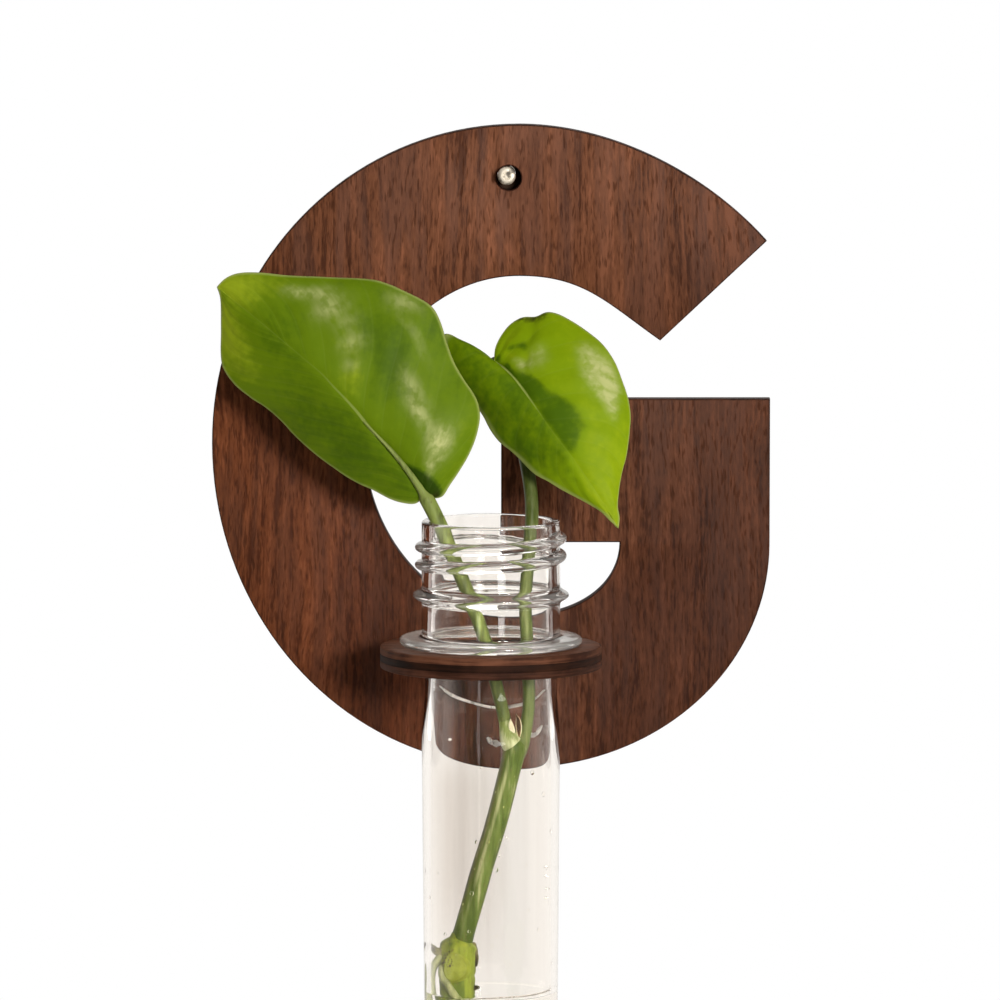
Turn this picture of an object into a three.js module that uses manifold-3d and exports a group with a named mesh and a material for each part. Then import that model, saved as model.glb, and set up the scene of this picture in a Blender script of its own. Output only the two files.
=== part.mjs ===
// Hydroponic wall planter: a plywood block-letter board hung on a nail, a plywood ring that stands
// square off it, and a clear bottle-neck tube hanging in the ring with a little water and a rooted cutting.
// Millimetres, +Z up. The origin is the nail's axis where it enters the wall; the wall is the plane y = 0
// and the planter's front faces -Y.
import * as THREE from "three";
import { mergeVertices } from "three/addons/utils/BufferGeometryUtils.js";
import Module from "manifold-3d";

const wasm = await Module();
wasm.setup();

// Plywood sheet
const SHEET = 4; // thickness of the board and of the ring
const PLIES = 3;

// Backboard: an open round letter with a bar
const BOARD_WIDTH = 101.9;
const BOARD_HEIGHT = 118;
const CROWN_FROM_LEFT = 56.1; // left extreme to the highest point of the outline
const SIDE_STROKE = 27.9; // left and lower stroke
const CROWN_STROKE = 27.6;
const RIGHT_STROKE = 27.4;
const BAR_LENGTH = 49.1; // from the right edge
const BAR_HEIGHT = 26.3;
const BAR_BELOW_CROWN = 50.1;
const RIGHT_EDGE_LENGTH = 26.6; // straight stretch of the right edge, from the bar's top down
const CUT_INSET = 0.7; // corner of the letter's open end, from the right edge
const CUT_DROP = 21.2; // and below the crown
const CUT_LENGTH = 26.6;
const CUT_ANGLE = 43.2; // degrees from the horizontal
const WAIST_ABOVE_MIDDLE = 0.8; // widest level of the left stroke, above half the board's height

// Hanging hole and nail
const NAIL_BELOW_CROWN = 9.2;
const NAIL_LEFT_OF_CROWN = 2.3;
const NAIL_D = 3.2;
const NAIL_HEAD_LIP = 0.25; // head beyond the shaft, each side
const NAIL_HEAD_T = 0.9;
const NAIL_HEAD_DOME = 0.22;
const NAIL_HEAD_FLAT_D = 2.2;
const NAIL_PROUD = 2.6; // head's face in front of the board
const NAIL_IN_WALL = 22;
const NAIL_POINT = 5;
const HOLE_SLACK = 1.6; // hole wider than the nail
const HANG_GAP = 0.1; // nail to the top of the hole

// Holder ring and its tab
const RING_WIDTH = 6.7; // bore to rim
const RING_BELOW_COUNTER = 2.75; // ring's top face under the lower edge of the letter's counter
const RING_CLEARANCE = 0.5; // tube body to the ring's bore, each side
const NECK_BLOCK_W = 18; // block that joins the ring to the board
const TAB_W = 12;
const TAB_GAP = 0.1; // tab to its slot, each side

// Tube with a bottle neck
const TUBE_LENGTH = 128;
const BORE_D = 21.8;
const NECK_WALL = 1.6;
const SHOULDER_WALL = 1.05; // just under the flange
const BODY_WALL = 1.9;
const FLOOR_T = 2.2;
const NECK_HEIGHT = 22.6; // rim to the underside of the flange
const RIM_ROUND = 0.5;
const THREAD_PROUD = 1.2; // thread, bead and flange stand out of the neck
const THREAD_PITCH = 3.2;
const THREAD_TURNS = 1.75;
const THREAD_START = 22.5; // degrees behind the right-hand side
const THREAD_BELOW_RIM = 3;
const THREAD_SECTION_R = 1.15;
const BEAD_PROUD = 1.6;
const BEAD_T = 1.8;
const BEAD_BELOW_RIM = 13.5;
const FLANGE_PROUD = 4;
const FLANGE_T = 1.6;
const SHOULDER_LENGTH = 8; // straight stretch under the flange
const FLARE_LENGTH = 9; // then widening to the body
const SEAT_GAP = 0.05; // flange to the ring's top face

// Water
const WATER_DEPTH = 40.5;
const WATER_GAP = 0.3; // to the tube's wall and to what stands in it

// Cutting
const PETIOLE_D = 2.9;
const PETIOLE_LEFT_RISE = 3.2; // stalk's end above the rim
const PETIOLE_RIGHT_RISE = 28.1;
const LEAN_GAP = 0.4; // left petiole to the mouth that it leans on
const STEM_D = 3.5;
const GROWTH_GAP = 0.3; // between pieces of the cutting that grow together
const JUNCTION_DEPTH = 41; // below the rim
const UPPER_NODE_D = 5.2;
const UPPER_NODE_LENGTH = 7.8;
const LOWER_NODE_D = 6.4;
const LOWER_NODE_LENGTH = 8.6;
const NODE_ABOVE_WATER = 5.5;
const STEM_DIP = 24; // stem's cut end below the water
const SCAR_D = 5;
const SCAR_LENGTH = 1.6;
const ROOT_D = 1.8;
const ROOT_LENGTH = 1.7; // a nub's reach out of the node
const LONG_ROOT = 2.6;
const ROOT_WALL_GAP = 0.55; // left nub's tip to the tube
const SHEATH_D = 1.5;
const SHEATH_LENGTH = 6;
const SHEATH_TUCK = 0.2; // how far it lies in the groove between the petioles
const LEAF_LEFT_LENGTH = 52.6; // stalk to tip in a straight line
const LEAF_RIGHT_LENGTH = 38.4;
const LEAF_T = 0.7;
const LEAF_CROWN = 0.05; // how far each half of a leaf swells, as a share of that half's width

// Facets
const ROUND_SEGMENTS = 36;
const SMALL_ROUND_SEGMENTS = 14;
const TWIG_SEGMENTS = 8;
const CURVE_SEGMENTS = 13;
const THREAD_SEGMENTS_PER_TURN = 36;
const LEAF_STATION_COUNT = 18;
const LEAF_STRIP_COUNT = 4;

// Levels and axes that follow from the sizes above
const crownX = NAIL_LEFT_OF_CROWN;
const topZ = NAIL_BELOW_CROWN;
const leftX = crownX - CROWN_FROM_LEFT;
const rightX = leftX + BOARD_WIDTH;
const bottomZ = topZ - BOARD_HEIGHT;
const waistZ = (topZ + bottomZ) / 2 + WAIST_ABOVE_MIDDLE;
const counterFootZ = bottomZ + SIDE_STROKE;
const barTopZ = topZ - BAR_BELOW_CROWN;
const barBottomZ = barTopZ - BAR_HEIGHT;
const ply = SHEET / PLIES;
const holeR = (NAIL_D + HOLE_SLACK) / 2;
const holeZ = HANG_GAP - HOLE_SLACK / 2;
const boreR = BORE_D / 2;
const neckR = boreR + NECK_WALL;
const bodyR = boreR + BODY_WALL;
const ringBoreR = bodyR + RING_CLEARANCE;
const ringR = ringBoreR + RING_WIDTH;
const axisX = leftX + BOARD_WIDTH / 2;
const axisY = -(SHEET + ringR);
const ringTopZ = counterFootZ - RING_BELOW_COUNTER;
const flangeZ = ringTopZ + SEAT_GAP;
const rimZ = flangeZ + NECK_HEIGHT;
const cavityFloorDepth = TUBE_LENGTH - FLOOR_T;
const waterTopDepth = cavityFloorDepth - WATER_DEPTH;
const nodeDepth = waterTopDepth - NODE_ABOVE_WATER;
const degrees = Math.PI / 180;

const group = new THREE.Group();
const tubeGroup = new THREE.Group(); // its origin is the centre of the tube's mouth
tubeGroup.position.set(axisX, axisY, rimZ);
group.add(tubeGroup);

const finishes = {
  walnut: { color: 0x6b4030, roughness: 0.6, metalness: 0 },
  core: { color: 0x3a2018, roughness: 0.8, metalness: 0 },
  steel: { color: 0xd8d6d0, roughness: 0.3, metalness: 1 },
  clear: { color: 0xeef2f2, roughness: 0.05, metalness: 0, transparent: true, opacity: 0.3 },
  water: { color: 0xdfeaea, roughness: 0.02, metalness: 0, transparent: true, opacity: 0.35 },
  leafDeep: { color: 0x5a7f18, roughness: 0.4, metalness: 0 },
  leafBright: { color: 0x86a812, roughness: 0.4, metalness: 0 },
  green: { color: 0x6f8f3f, roughness: 0.5, metalness: 0 },
  pale: { color: 0xa9ad45, roughness: 0.6, metalness: 0 },
  brown: { color: 0x5a4630, roughness: 0.8, metalness: 0 },
};

function addPiece(parent, name, geometry, finish) {
  const mesh = new THREE.Mesh(geometry, new THREE.MeshStandardMaterial(finishes[finish]));
  mesh.name = name;
  parent.add(mesh);
  return mesh;
}

// Solids for joining and cutting
function solid(geometry) {
  const bare = geometry.clone();
  bare.deleteAttribute("normal");
  bare.deleteAttribute("uv");
  const merged = mergeVertices(bare, 1e-4);
  const triVerts = new Uint32Array(merged.index.array);
  const vertProperties = new Float32Array(merged.attributes.position.array);
  return new wasm.Manifold(new wasm.Mesh({ numProp: 3, vertProperties, triVerts }));
}

function shell(body) {
  const mesh = body.getMesh();
  const geometry = new THREE.BufferGeometry();
  geometry.setAttribute("position", new THREE.BufferAttribute(mesh.vertProperties, 3));
  geometry.setIndex(new THREE.BufferAttribute(mesh.triVerts, 1));
  geometry.computeVertexNormals();
  return geometry;
}

// Turns a form drawn in (x, height) with its depth or its axis upright into the part's frame
function standUp(geometry) {
  return geometry.rotateX(Math.PI / 2);
}

function turned(profile, segments) {
  return standUp(new THREE.LatheGeometry(profile.map(([r, z]) => new THREE.Vector2(r, z)), segments));
}

function disc(radius, sides) {
  const shape = new THREE.Shape();
  for (let i = 0; i < sides; i++) {
    const a = (2 * Math.PI * i) / sides;
    shape[i ? "lineTo" : "moveTo"](radius * Math.cos(a), radius * Math.sin(a));
  }
  return shape;
}

function twig(points, radius, steps, sides = TWIG_SEGMENTS) {
  const path = new THREE.CatmullRomCurve3(points.map((p) => new THREE.Vector3(...p)));
  return new THREE.ExtrudeGeometry(disc(radius, sides), { steps, bevelEnabled: false, extrudePath: path });
}

// An egg-shaped swelling about a point, its long axis upright
function swelling(diameter, length, centre) {
  return new THREE.SphereGeometry(diameter / 2, SMALL_ROUND_SEGMENTS, SMALL_ROUND_SEGMENTS / 2)
    .rotateX(Math.PI / 2)
    .scale(1, 1, length / diameter)
    .translate(...centre);
}

// Backboard outline. A quarter of a round is one curve that leaves and arrives square to the axes;
// the two shares say how far its handles reach.
function quarter(shape, from, to, fromUpright, fromShare, toShare) {
  const dx = to[0] - from[0];
  const dz = to[1] - from[1];
  const first = fromUpright ? [from[0], from[1] + dz * fromShare] : [from[0] + dx * fromShare, from[1]];
  const second = fromUpright ? [to[0] - dx * toShare, to[1]] : [to[0], to[1] - dz * toShare];
  shape.bezierCurveTo(...first, ...second, ...to);
}

function boardShape() {
  const OUTER_ROUND = 0.555; // a little fuller than a circle's 0.552
  const COUNTER_ROUND = 0.548;
  const CUT_SHARE = 0.37; // handles of the stretch from the crown to the open end
  const COUNTER_CUT_SHARE = 0.46;
  const OUTER_CUT_SLOPE = 48; // degrees, where the outline reaches the open end
  const COUNTER_CUT_SLOPE = 35;
  const COUNTER_CORNER_DROP = 0.67; // handles of the counter's lower right, which is less round
  const COUNTER_CORNER_REACH = 0.5;
  const crown = [crownX, topZ];
  const left = [leftX, waistZ];
  const foot = [crownX, bottomZ];
  const rightEnd = [rightX, barTopZ - RIGHT_EDGE_LENGTH];
  const cutOuter = [rightX - CUT_INSET, topZ - CUT_DROP];
  const cutInner = [
    cutOuter[0] - CUT_LENGTH * Math.cos(CUT_ANGLE * degrees),
    cutOuter[1] - CUT_LENGTH * Math.sin(CUT_ANGLE * degrees),
  ];
  const counterTop = [crownX, topZ - CROWN_STROKE];
  const counterLeft = [leftX + SIDE_STROKE, waistZ];
  const counterFoot = [crownX, counterFootZ];
  const counterRight = [rightX - RIGHT_STROKE, barBottomZ];

  const shape = new THREE.Shape();
  shape.moveTo(...crown);
  quarter(shape, crown, left, false, OUTER_ROUND, OUTER_ROUND);
  quarter(shape, left, foot, true, OUTER_ROUND, OUTER_ROUND);
  quarter(shape, foot, rightEnd, false, OUTER_ROUND, OUTER_ROUND);
  shape.lineTo(rightX, barTopZ);
  shape.lineTo(rightX - BAR_LENGTH, barTopZ);
  shape.lineTo(rightX - BAR_LENGTH, barBottomZ);
  shape.lineTo(...counterRight);
  quarter(shape, counterRight, counterFoot, true, COUNTER_CORNER_DROP, COUNTER_CORNER_REACH);
  quarter(shape, counterFoot, counterLeft, false, COUNTER_ROUND, COUNTER_ROUND);
  quarter(shape, counterLeft, counterTop, true, COUNTER_ROUND, COUNTER_ROUND);
  const reach = (cutInner[0] - counterTop[0]) * COUNTER_CUT_SHARE;
  shape.bezierCurveTo(
    counterTop[0] + reach, counterTop[1],
    cutInner[0] - reach * Math.cos(COUNTER_CUT_SLOPE * degrees),
    cutInner[1] + reach * Math.sin(COUNTER_CUT_SLOPE * degrees),
    ...cutInner,
  );
  shape.lineTo(...cutOuter);
  const span = (cutOuter[0] - crown[0]) * CUT_SHARE;
  shape.bezierCurveTo(
    cutOuter[0] - span * Math.cos(OUTER_CUT_SLOPE * degrees),
    cutOuter[1] + span * Math.sin(OUTER_CUT_SLOPE * degrees),
    crown[0] + span, crown[1],
    ...crown,
  );

  const hole = new THREE.Path();
  hole.absarc(0, holeZ, holeR, 0, 2 * Math.PI, true);
  const slotHalf = TAB_W / 2 + TAB_GAP;
  const slot = new THREE.Path();
  slot.moveTo(axisX - slotHalf, ringTopZ + TAB_GAP);
  slot.lineTo(axisX + slotHalf, ringTopZ + TAB_GAP);
  slot.lineTo(axisX + slotHalf, ringTopZ - SHEET - TAB_GAP);
  slot.lineTo(axisX - slotHalf, ringTopZ - SHEET - TAB_GAP);
  slot.closePath();
  shape.holes.push(hole, slot);
  return shape;
}

function addBackboard() {
  const plies = [
    ["backboard_back_ply", "walnut"],
    ["backboard_core_ply", "core"],
    ["backboard_front_ply", "walnut"],
  ];
  const cut = { depth: ply, bevelEnabled: false, curveSegments: CURVE_SEGMENTS };
  plies.forEach(([name, finish], i) => {
    const flat = new THREE.ExtrudeGeometry(boardShape(), cut);
    addPiece(group, name, standUp(flat), finish).position.y = -i * ply;
  });
}

function addNail() {
  const shaftR = NAIL_D / 2;
  const headR = shaftR + NAIL_HEAD_LIP;
  const face = SHEET + NAIL_PROUD;
  const profile = [
    [0, -NAIL_IN_WALL],
    [shaftR, -NAIL_IN_WALL + NAIL_POINT],
    [shaftR, face - NAIL_HEAD_T],
    [headR, face - NAIL_HEAD_T],
    [headR, face - NAIL_HEAD_DOME],
    [NAIL_HEAD_FLAT_D / 2, face],
    [0, face],
  ];
  // upright profile, laid over so that its top points out of the wall
  addPiece(group, "wall_nail", turned(profile, SMALL_ROUND_SEGMENTS).rotateX(Math.PI / 2), "steel");
}

// Holder ring, drawn from above around the tube's axis: a round plate with a block and a tab at the board
function ringShape() {
  const half = NECK_BLOCK_W / 2;
  const tabHalf = TAB_W / 2;
  const meet = Math.asin(half / ringR);
  const faceY = ringR; // the board's front face
  const backY = ringR + SHEET;
  const shape = new THREE.Shape();
  shape.moveTo(half, faceY);
  shape.lineTo(tabHalf, faceY);
  shape.lineTo(tabHalf, backY);
  shape.lineTo(-tabHalf, backY);
  shape.lineTo(-tabHalf, faceY);
  shape.lineTo(-half, faceY);
  shape.absarc(0, 0, ringR, Math.PI / 2 + meet, 2.5 * Math.PI - meet, false);
  shape.closePath();
  const bore = new THREE.Path();
  bore.absarc(0, 0, ringBoreR, 0, 2 * Math.PI, true);
  shape.holes.push(bore);
  return shape;
}

function addRing() {
  const plies = [["ring_bottom_ply", "walnut"], ["ring_core_ply", "core"], ["ring_top_ply", "walnut"]];
  const cut = { depth: ply, bevelEnabled: false, curveSegments: ROUND_SEGMENTS / 2 };
  plies.forEach(([name, finish], i) => {
    const flat = new THREE.ExtrudeGeometry(ringShape(), cut);
    addPiece(group, name, flat, finish).position.set(axisX, axisY, ringTopZ - SHEET + i * ply);
  });
}

// Tube, drawn with the mouth's centre at the origin and its length running down
class Helix extends THREE.Curve {
  constructor(radius, pitch, turns, startZ, startAngle) {
    super();
    Object.assign(this, { radius, pitch, turns, startZ, startAngle });
  }
  getPoint(t, target = new THREE.Vector3()) {
    const a = this.startAngle - 2 * Math.PI * this.turns * t;
    const z = this.startZ - this.pitch * this.turns * t;
    return target.set(this.radius * Math.cos(a), this.radius * Math.sin(a), z);
  }
}

// Rounded end from an upright wall to the axis, as [radius, height] points from the axis outwards
function roundEnd(radius, lowest) {
  const POINT_COUNT = 7;
  return Array.from({ length: POINT_COUNT }, (_, i) => {
    const a = (Math.PI / 2) * (i / (POINT_COUNT - 1));
    return [i ? radius * Math.sin(a) : 0, lowest + radius * (1 - Math.cos(a))];
  });
}

function cavityProfile(gap, top) {
  return [...roundEnd(boreR - gap, -cavityFloorDepth + gap), [boreR - gap, top]];
}

function tubeGeometry() {
  const shoulderR = boreR + SHOULDER_WALL;
  const flangeR = neckR + FLANGE_PROUD;
  const beadR = neckR + BEAD_PROUD;
  const under = -NECK_HEIGHT;
  const flareTop = under - SHOULDER_LENGTH;
  const edge = FLANGE_T / 3;
  const bead = -BEAD_BELOW_RIM;
  const outside = [
    ...roundEnd(bodyR, -TUBE_LENGTH),
    [bodyR, flareTop - FLARE_LENGTH],
    [(bodyR + shoulderR) / 2, flareTop - FLARE_LENGTH / 2],
    [shoulderR, flareTop],
    [shoulderR, under],
    [flangeR - edge, under],
    [flangeR, under + edge],
    [flangeR, under + FLANGE_T - edge],
    [flangeR - edge, under + FLANGE_T],
    [neckR, under + FLANGE_T],
    [neckR, bead - BEAD_T / 2],
    [beadR, bead - BEAD_T / 4],
    [beadR, bead + BEAD_T / 4],
    [neckR, bead + BEAD_T / 2],
    [neckR, -RIM_ROUND],
    [neckR - RIM_ROUND, 0],
    [boreR + RIM_ROUND, 0],
  ];
  const inside = cavityProfile(0, -RIM_ROUND).reverse();
  const wall = turned([...outside, ...inside], ROUND_SEGMENTS);
  const threadR = neckR + THREAD_PROUD - THREAD_SECTION_R;
  const helix = new Helix(threadR, THREAD_PITCH, THREAD_TURNS, -THREAD_BELOW_RIM, THREAD_START * degrees);
  const steps = Math.round(THREAD_SEGMENTS_PER_TURN * THREAD_TURNS);
  const section = disc(THREAD_SECTION_R, TWIG_SEGMENTS);
  const ridge = new THREE.ExtrudeGeometry(section, { steps, bevelEnabled: false, extrudePath: helix });
  const cavity = turned([...cavityProfile(0, NECK_HEIGHT), [0, NECK_HEIGHT]], ROUND_SEGMENTS);
  return shell(solid(wall).add(solid(ridge)).subtract(solid(cavity)));
}

// Cutting. Its points are measured from the centre of the tube's mouth, sideways in shares of the bore.
const petioleR = PETIOLE_D / 2;
const lean = (boreR - petioleR - LEAN_GAP) / boreR; // where the left petiole leans on the mouth
const stalkOffset = (PETIOLE_D + GROWTH_GAP) / 2; // the two petioles leave the node side by side
const inBore = (x, y, z) => [x * boreR, y * boreR, z];
const junction = inBore(0.4, 0, -JUNCTION_DEPTH);
const lowerNode = [-(boreR - ROOT_WALL_GAP - ROOT_LENGTH - LOWER_NODE_D / 2), 0, -nodeDepth];
const footEnd = [lowerNode[0], 0, -(waterTopDepth + STEM_DIP)];

const petioleLeftPath = [
  [junction[0] - stalkOffset, 0, junction[2] + petioleR],
  inBore(0.17, 0, 0.75 * junction[2]),
  inBore(0.04, -0.05, 0.57 * junction[2]),
  inBore(-0.11, -0.09, 0.4 * junction[2]),
  inBore(-0.39 * lean, -0.09, 0.23 * junction[2]),
  inBore(-0.7 * lean, -0.09, 0.11 * junction[2]),
  inBore(-lean, -0.09, 0),
  inBore(-lean - 0.19, -0.09, PETIOLE_LEFT_RISE),
];
const petioleRightPath = [
  [junction[0] + stalkOffset, 0.04 * boreR, junction[2] + petioleR],
  inBore(0.57, 0.09, 0.75 * junction[2]),
  inBore(0.58, 0.14, 0.53 * junction[2]),
  inBore(0.57, 0.16, 0.36 * junction[2]),
  inBore(0.62, 0.18, 0.18 * junction[2]),
  inBore(0.67, 0.23, 0),
  inBore(0.63, 0.41, 0.24 * PETIOLE_RIGHT_RISE),
  inBore(0.46, 0.69, 0.55 * PETIOLE_RIGHT_RISE),
  inBore(0.22, 0.73, 0.83 * PETIOLE_RIGHT_RISE),
  inBore(0.07, 0.56, PETIOLE_RIGHT_RISE),
];
const leafLeftBase = petioleLeftPath.at(-1);
const stalkTop = petioleRightPath.at(-1);
const leafRightBase = [stalkTop[0], stalkTop[1] - petioleR, stalkTop[2]]; // it hangs before its stalk
const SWAY = [0.78, 0.58, 0.38, 0.2]; // the stem bows a little to the right between its nodes
const stemPath = [
  junction,
  ...SWAY.map((share, i) => {
    const t = (i + 1) / (SWAY.length + 1);
    return [
      lowerNode[0] + (junction[0] - lowerNode[0]) * share,
      0,
      junction[2] + (lowerNode[2] - junction[2]) * t,
    ];
  }),
  lowerNode,
];

// A leaf is spanned between its midrib and its two margins, station by station from the stalk to the tip.
// The lines are drawn from the leaf's base, and the leaf takes its size from its length.
const leafLeftLines = {
  midrib: [
    [-1.2, 0, 1.7], [-4.3, -1, 6.6], [-8.8, -1.8, 12], [-15, -1.5, 18.8],
    [-21.7, 0, 25.5], [-28.9, 2.5, 31.4], [-34.6, 5, 35.7], [-38.2, 7, 38.4],
  ],
  low: [
    [-2.1, 0, 0.6], [-7, 2, 0.6], [-15.2, 4.5, 4.6], [-23.8, 6.8, 10.7],
    [-31, 8, 17.3], [-36.8, 8.8, 22.6], [-37.7, 8.5, 31.5], [-38.1, 7, 37.8],
  ],
  high: [
    [0, -0.5, 0.8], [4.2, -2.5, 4.1], [9, -3.6, 13.6], [6.7, -2, 22.4],
    [1.5, 1.5, 34.6], [-11.3, 4.5, 40.1], [-28.7, 6.2, 41.3], [-37.8, 7, 39],
  ],
};
const leafRightLines = {
  midrib: [
    [0, 0.4, 0.1], [2, -2.4, -1.3], [4.5, -5.2, -4.1], [7.4, -7.6, -8.1],
    [10.4, -9.4, -12.4], [14, -10.8, -17.1], [18.1, -11.6, -23], [22.1, -11.8, -28.8],
  ],
  low: [
    [-1, 0.9, 0.1], [-5.7, 3.4, 3.3], [-8.2, 3.9, 2], [-4.8, 1.4, -4],
    [-1.2, -1.6, -10.4], [3.9, -5.1, -16.8], [13.5, -9.1, -22.8], [21.8, -11.8, -28.7],
  ],
  high: [
    [0, 0.9, 1.3], [1.7, 2.4, 5.5], [5.9, 3.1, 8.4], [13.5, 1.9, 7.9],
    [20.6, -0.6, 2], [24.4, -4.6, -9.1], [22.9, -8.6, -19.3], [22.4, -11.8, -28.5],
  ],
};

// Root nubs: the direction each one grows from the lower node's centre, and how far it stands out of the node
const roots = {
  root_nub_left: { towards: [-0.93, -0.1, 0.36], reach: ROOT_LENGTH },
  root_long: { towards: [-0.72, -0.25, -0.65], reach: LONG_ROOT },
  root_nub_right: { towards: [0.95, -0.1, 0.25], reach: ROOT_LENGTH },
  root_nub_low: { towards: [0.75, -0.05, -0.66], reach: ROOT_LENGTH },
};

function rootGeometry({ towards, reach }, grow) {
  const direction = new THREE.Vector3(...towards).normalize();
  const tip = LOWER_NODE_D / 2 + reach;
  const r = ROOT_D / 2;
  const profile = [
    [0, 0],
    [r + grow, 0],
    [r + grow, tip - r],
    [0.7 * r + grow, tip - 0.3 * r],
    [0, tip + grow],
  ];
  return turned(profile, TWIG_SEGMENTS)
    .applyQuaternion(new THREE.Quaternion().setFromUnitVectors(new THREE.Vector3(0, 0, 1), direction))
    .translate(...lowerNode);
}

function leafGeometry(lines, length, base) {
  const spineEnds = [lines.midrib.at(0), lines.midrib.at(-1)].map((p) => new THREE.Vector3(...p));
  const size = length / spineEnds[0].distanceTo(spineEnds[1]);
  const foot = new THREE.Vector3(...base);
  const place = (p) => new THREE.Vector3(...p).multiplyScalar(size).add(foot);
  const curve = (points) => new THREE.CatmullRomCurve3(points.map(place));
  const midrib = curve(lines.midrib);
  const low = curve(lines.low);
  const high = curve(lines.high);
  const across = 2 * LEAF_STRIP_COUNT + 1;
  const middle = [];
  for (let i = 0; i < LEAF_STATION_COUNT; i++) {
    const s = i / (LEAF_STATION_COUNT - 1);
    const spine = midrib.getPoint(s);
    for (let j = 0; j < across; j++) {
      const t = j / LEAF_STRIP_COUNT - 1;
      const edge = (t < 0 ? low : high).getPoint(s);
      const out = Math.abs(t);
      const point = spine.clone().lerp(edge, out);
      point.y -= LEAF_CROWN * 4 * out * (1 - out) * spine.distanceTo(edge);
      middle.push(point);
    }
  }
  const at = (i, j) => middle[i * across + j];
  const normal = (i, j) => {
    const along = at(Math.min(i + 1, LEAF_STATION_COUNT - 1), j).clone().sub(at(Math.max(i - 1, 0), j));
    const over = at(i, Math.min(j + 1, across - 1)).clone().sub(at(i, Math.max(j - 1, 0)));
    return over.cross(along).normalize();
  };
  const positions = [];
  for (const side of [0.5, -0.5])
    for (let i = 0; i < LEAF_STATION_COUNT; i++)
      for (let j = 0; j < across; j++)
        positions.push(...at(i, j).clone().addScaledVector(normal(i, j), side * LEAF_T).toArray());
  const index = [];
  const front = (i, j) => i * across + j;
  const back = (i, j) => LEAF_STATION_COUNT * across + i * across + j;
  const quad = (a, b, c, d) => index.push(a, b, c, a, c, d);
  for (let i = 0; i + 1 < LEAF_STATION_COUNT; i++)
    for (let j = 0; j + 1 < across; j++) {
      quad(front(i, j), front(i, j + 1), front(i + 1, j + 1), front(i + 1, j));
      quad(back(i, j), back(i + 1, j), back(i + 1, j + 1), back(i, j + 1));
    }
  const rim = [];
  for (let j = 0; j + 1 < across; j++) rim.push([0, j]);
  for (let i = 0; i + 1 < LEAF_STATION_COUNT; i++) rim.push([i, across - 1]);
  for (let j = across - 1; j > 0; j--) rim.push([LEAF_STATION_COUNT - 1, j]);
  for (let i = LEAF_STATION_COUNT - 1; i > 0; i--) rim.push([i, 0]);
  rim.forEach((here, k) => {
    const next = rim[(k + 1) % rim.length];
    quad(back(...here), back(...next), front(...next), front(...here));
  });
  const geometry = new THREE.BufferGeometry();
  geometry.setAttribute("position", new THREE.Float32BufferAttribute(positions, 3));
  geometry.setIndex(index);
  geometry.computeVertexNormals();
  return geometry;
}

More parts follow.
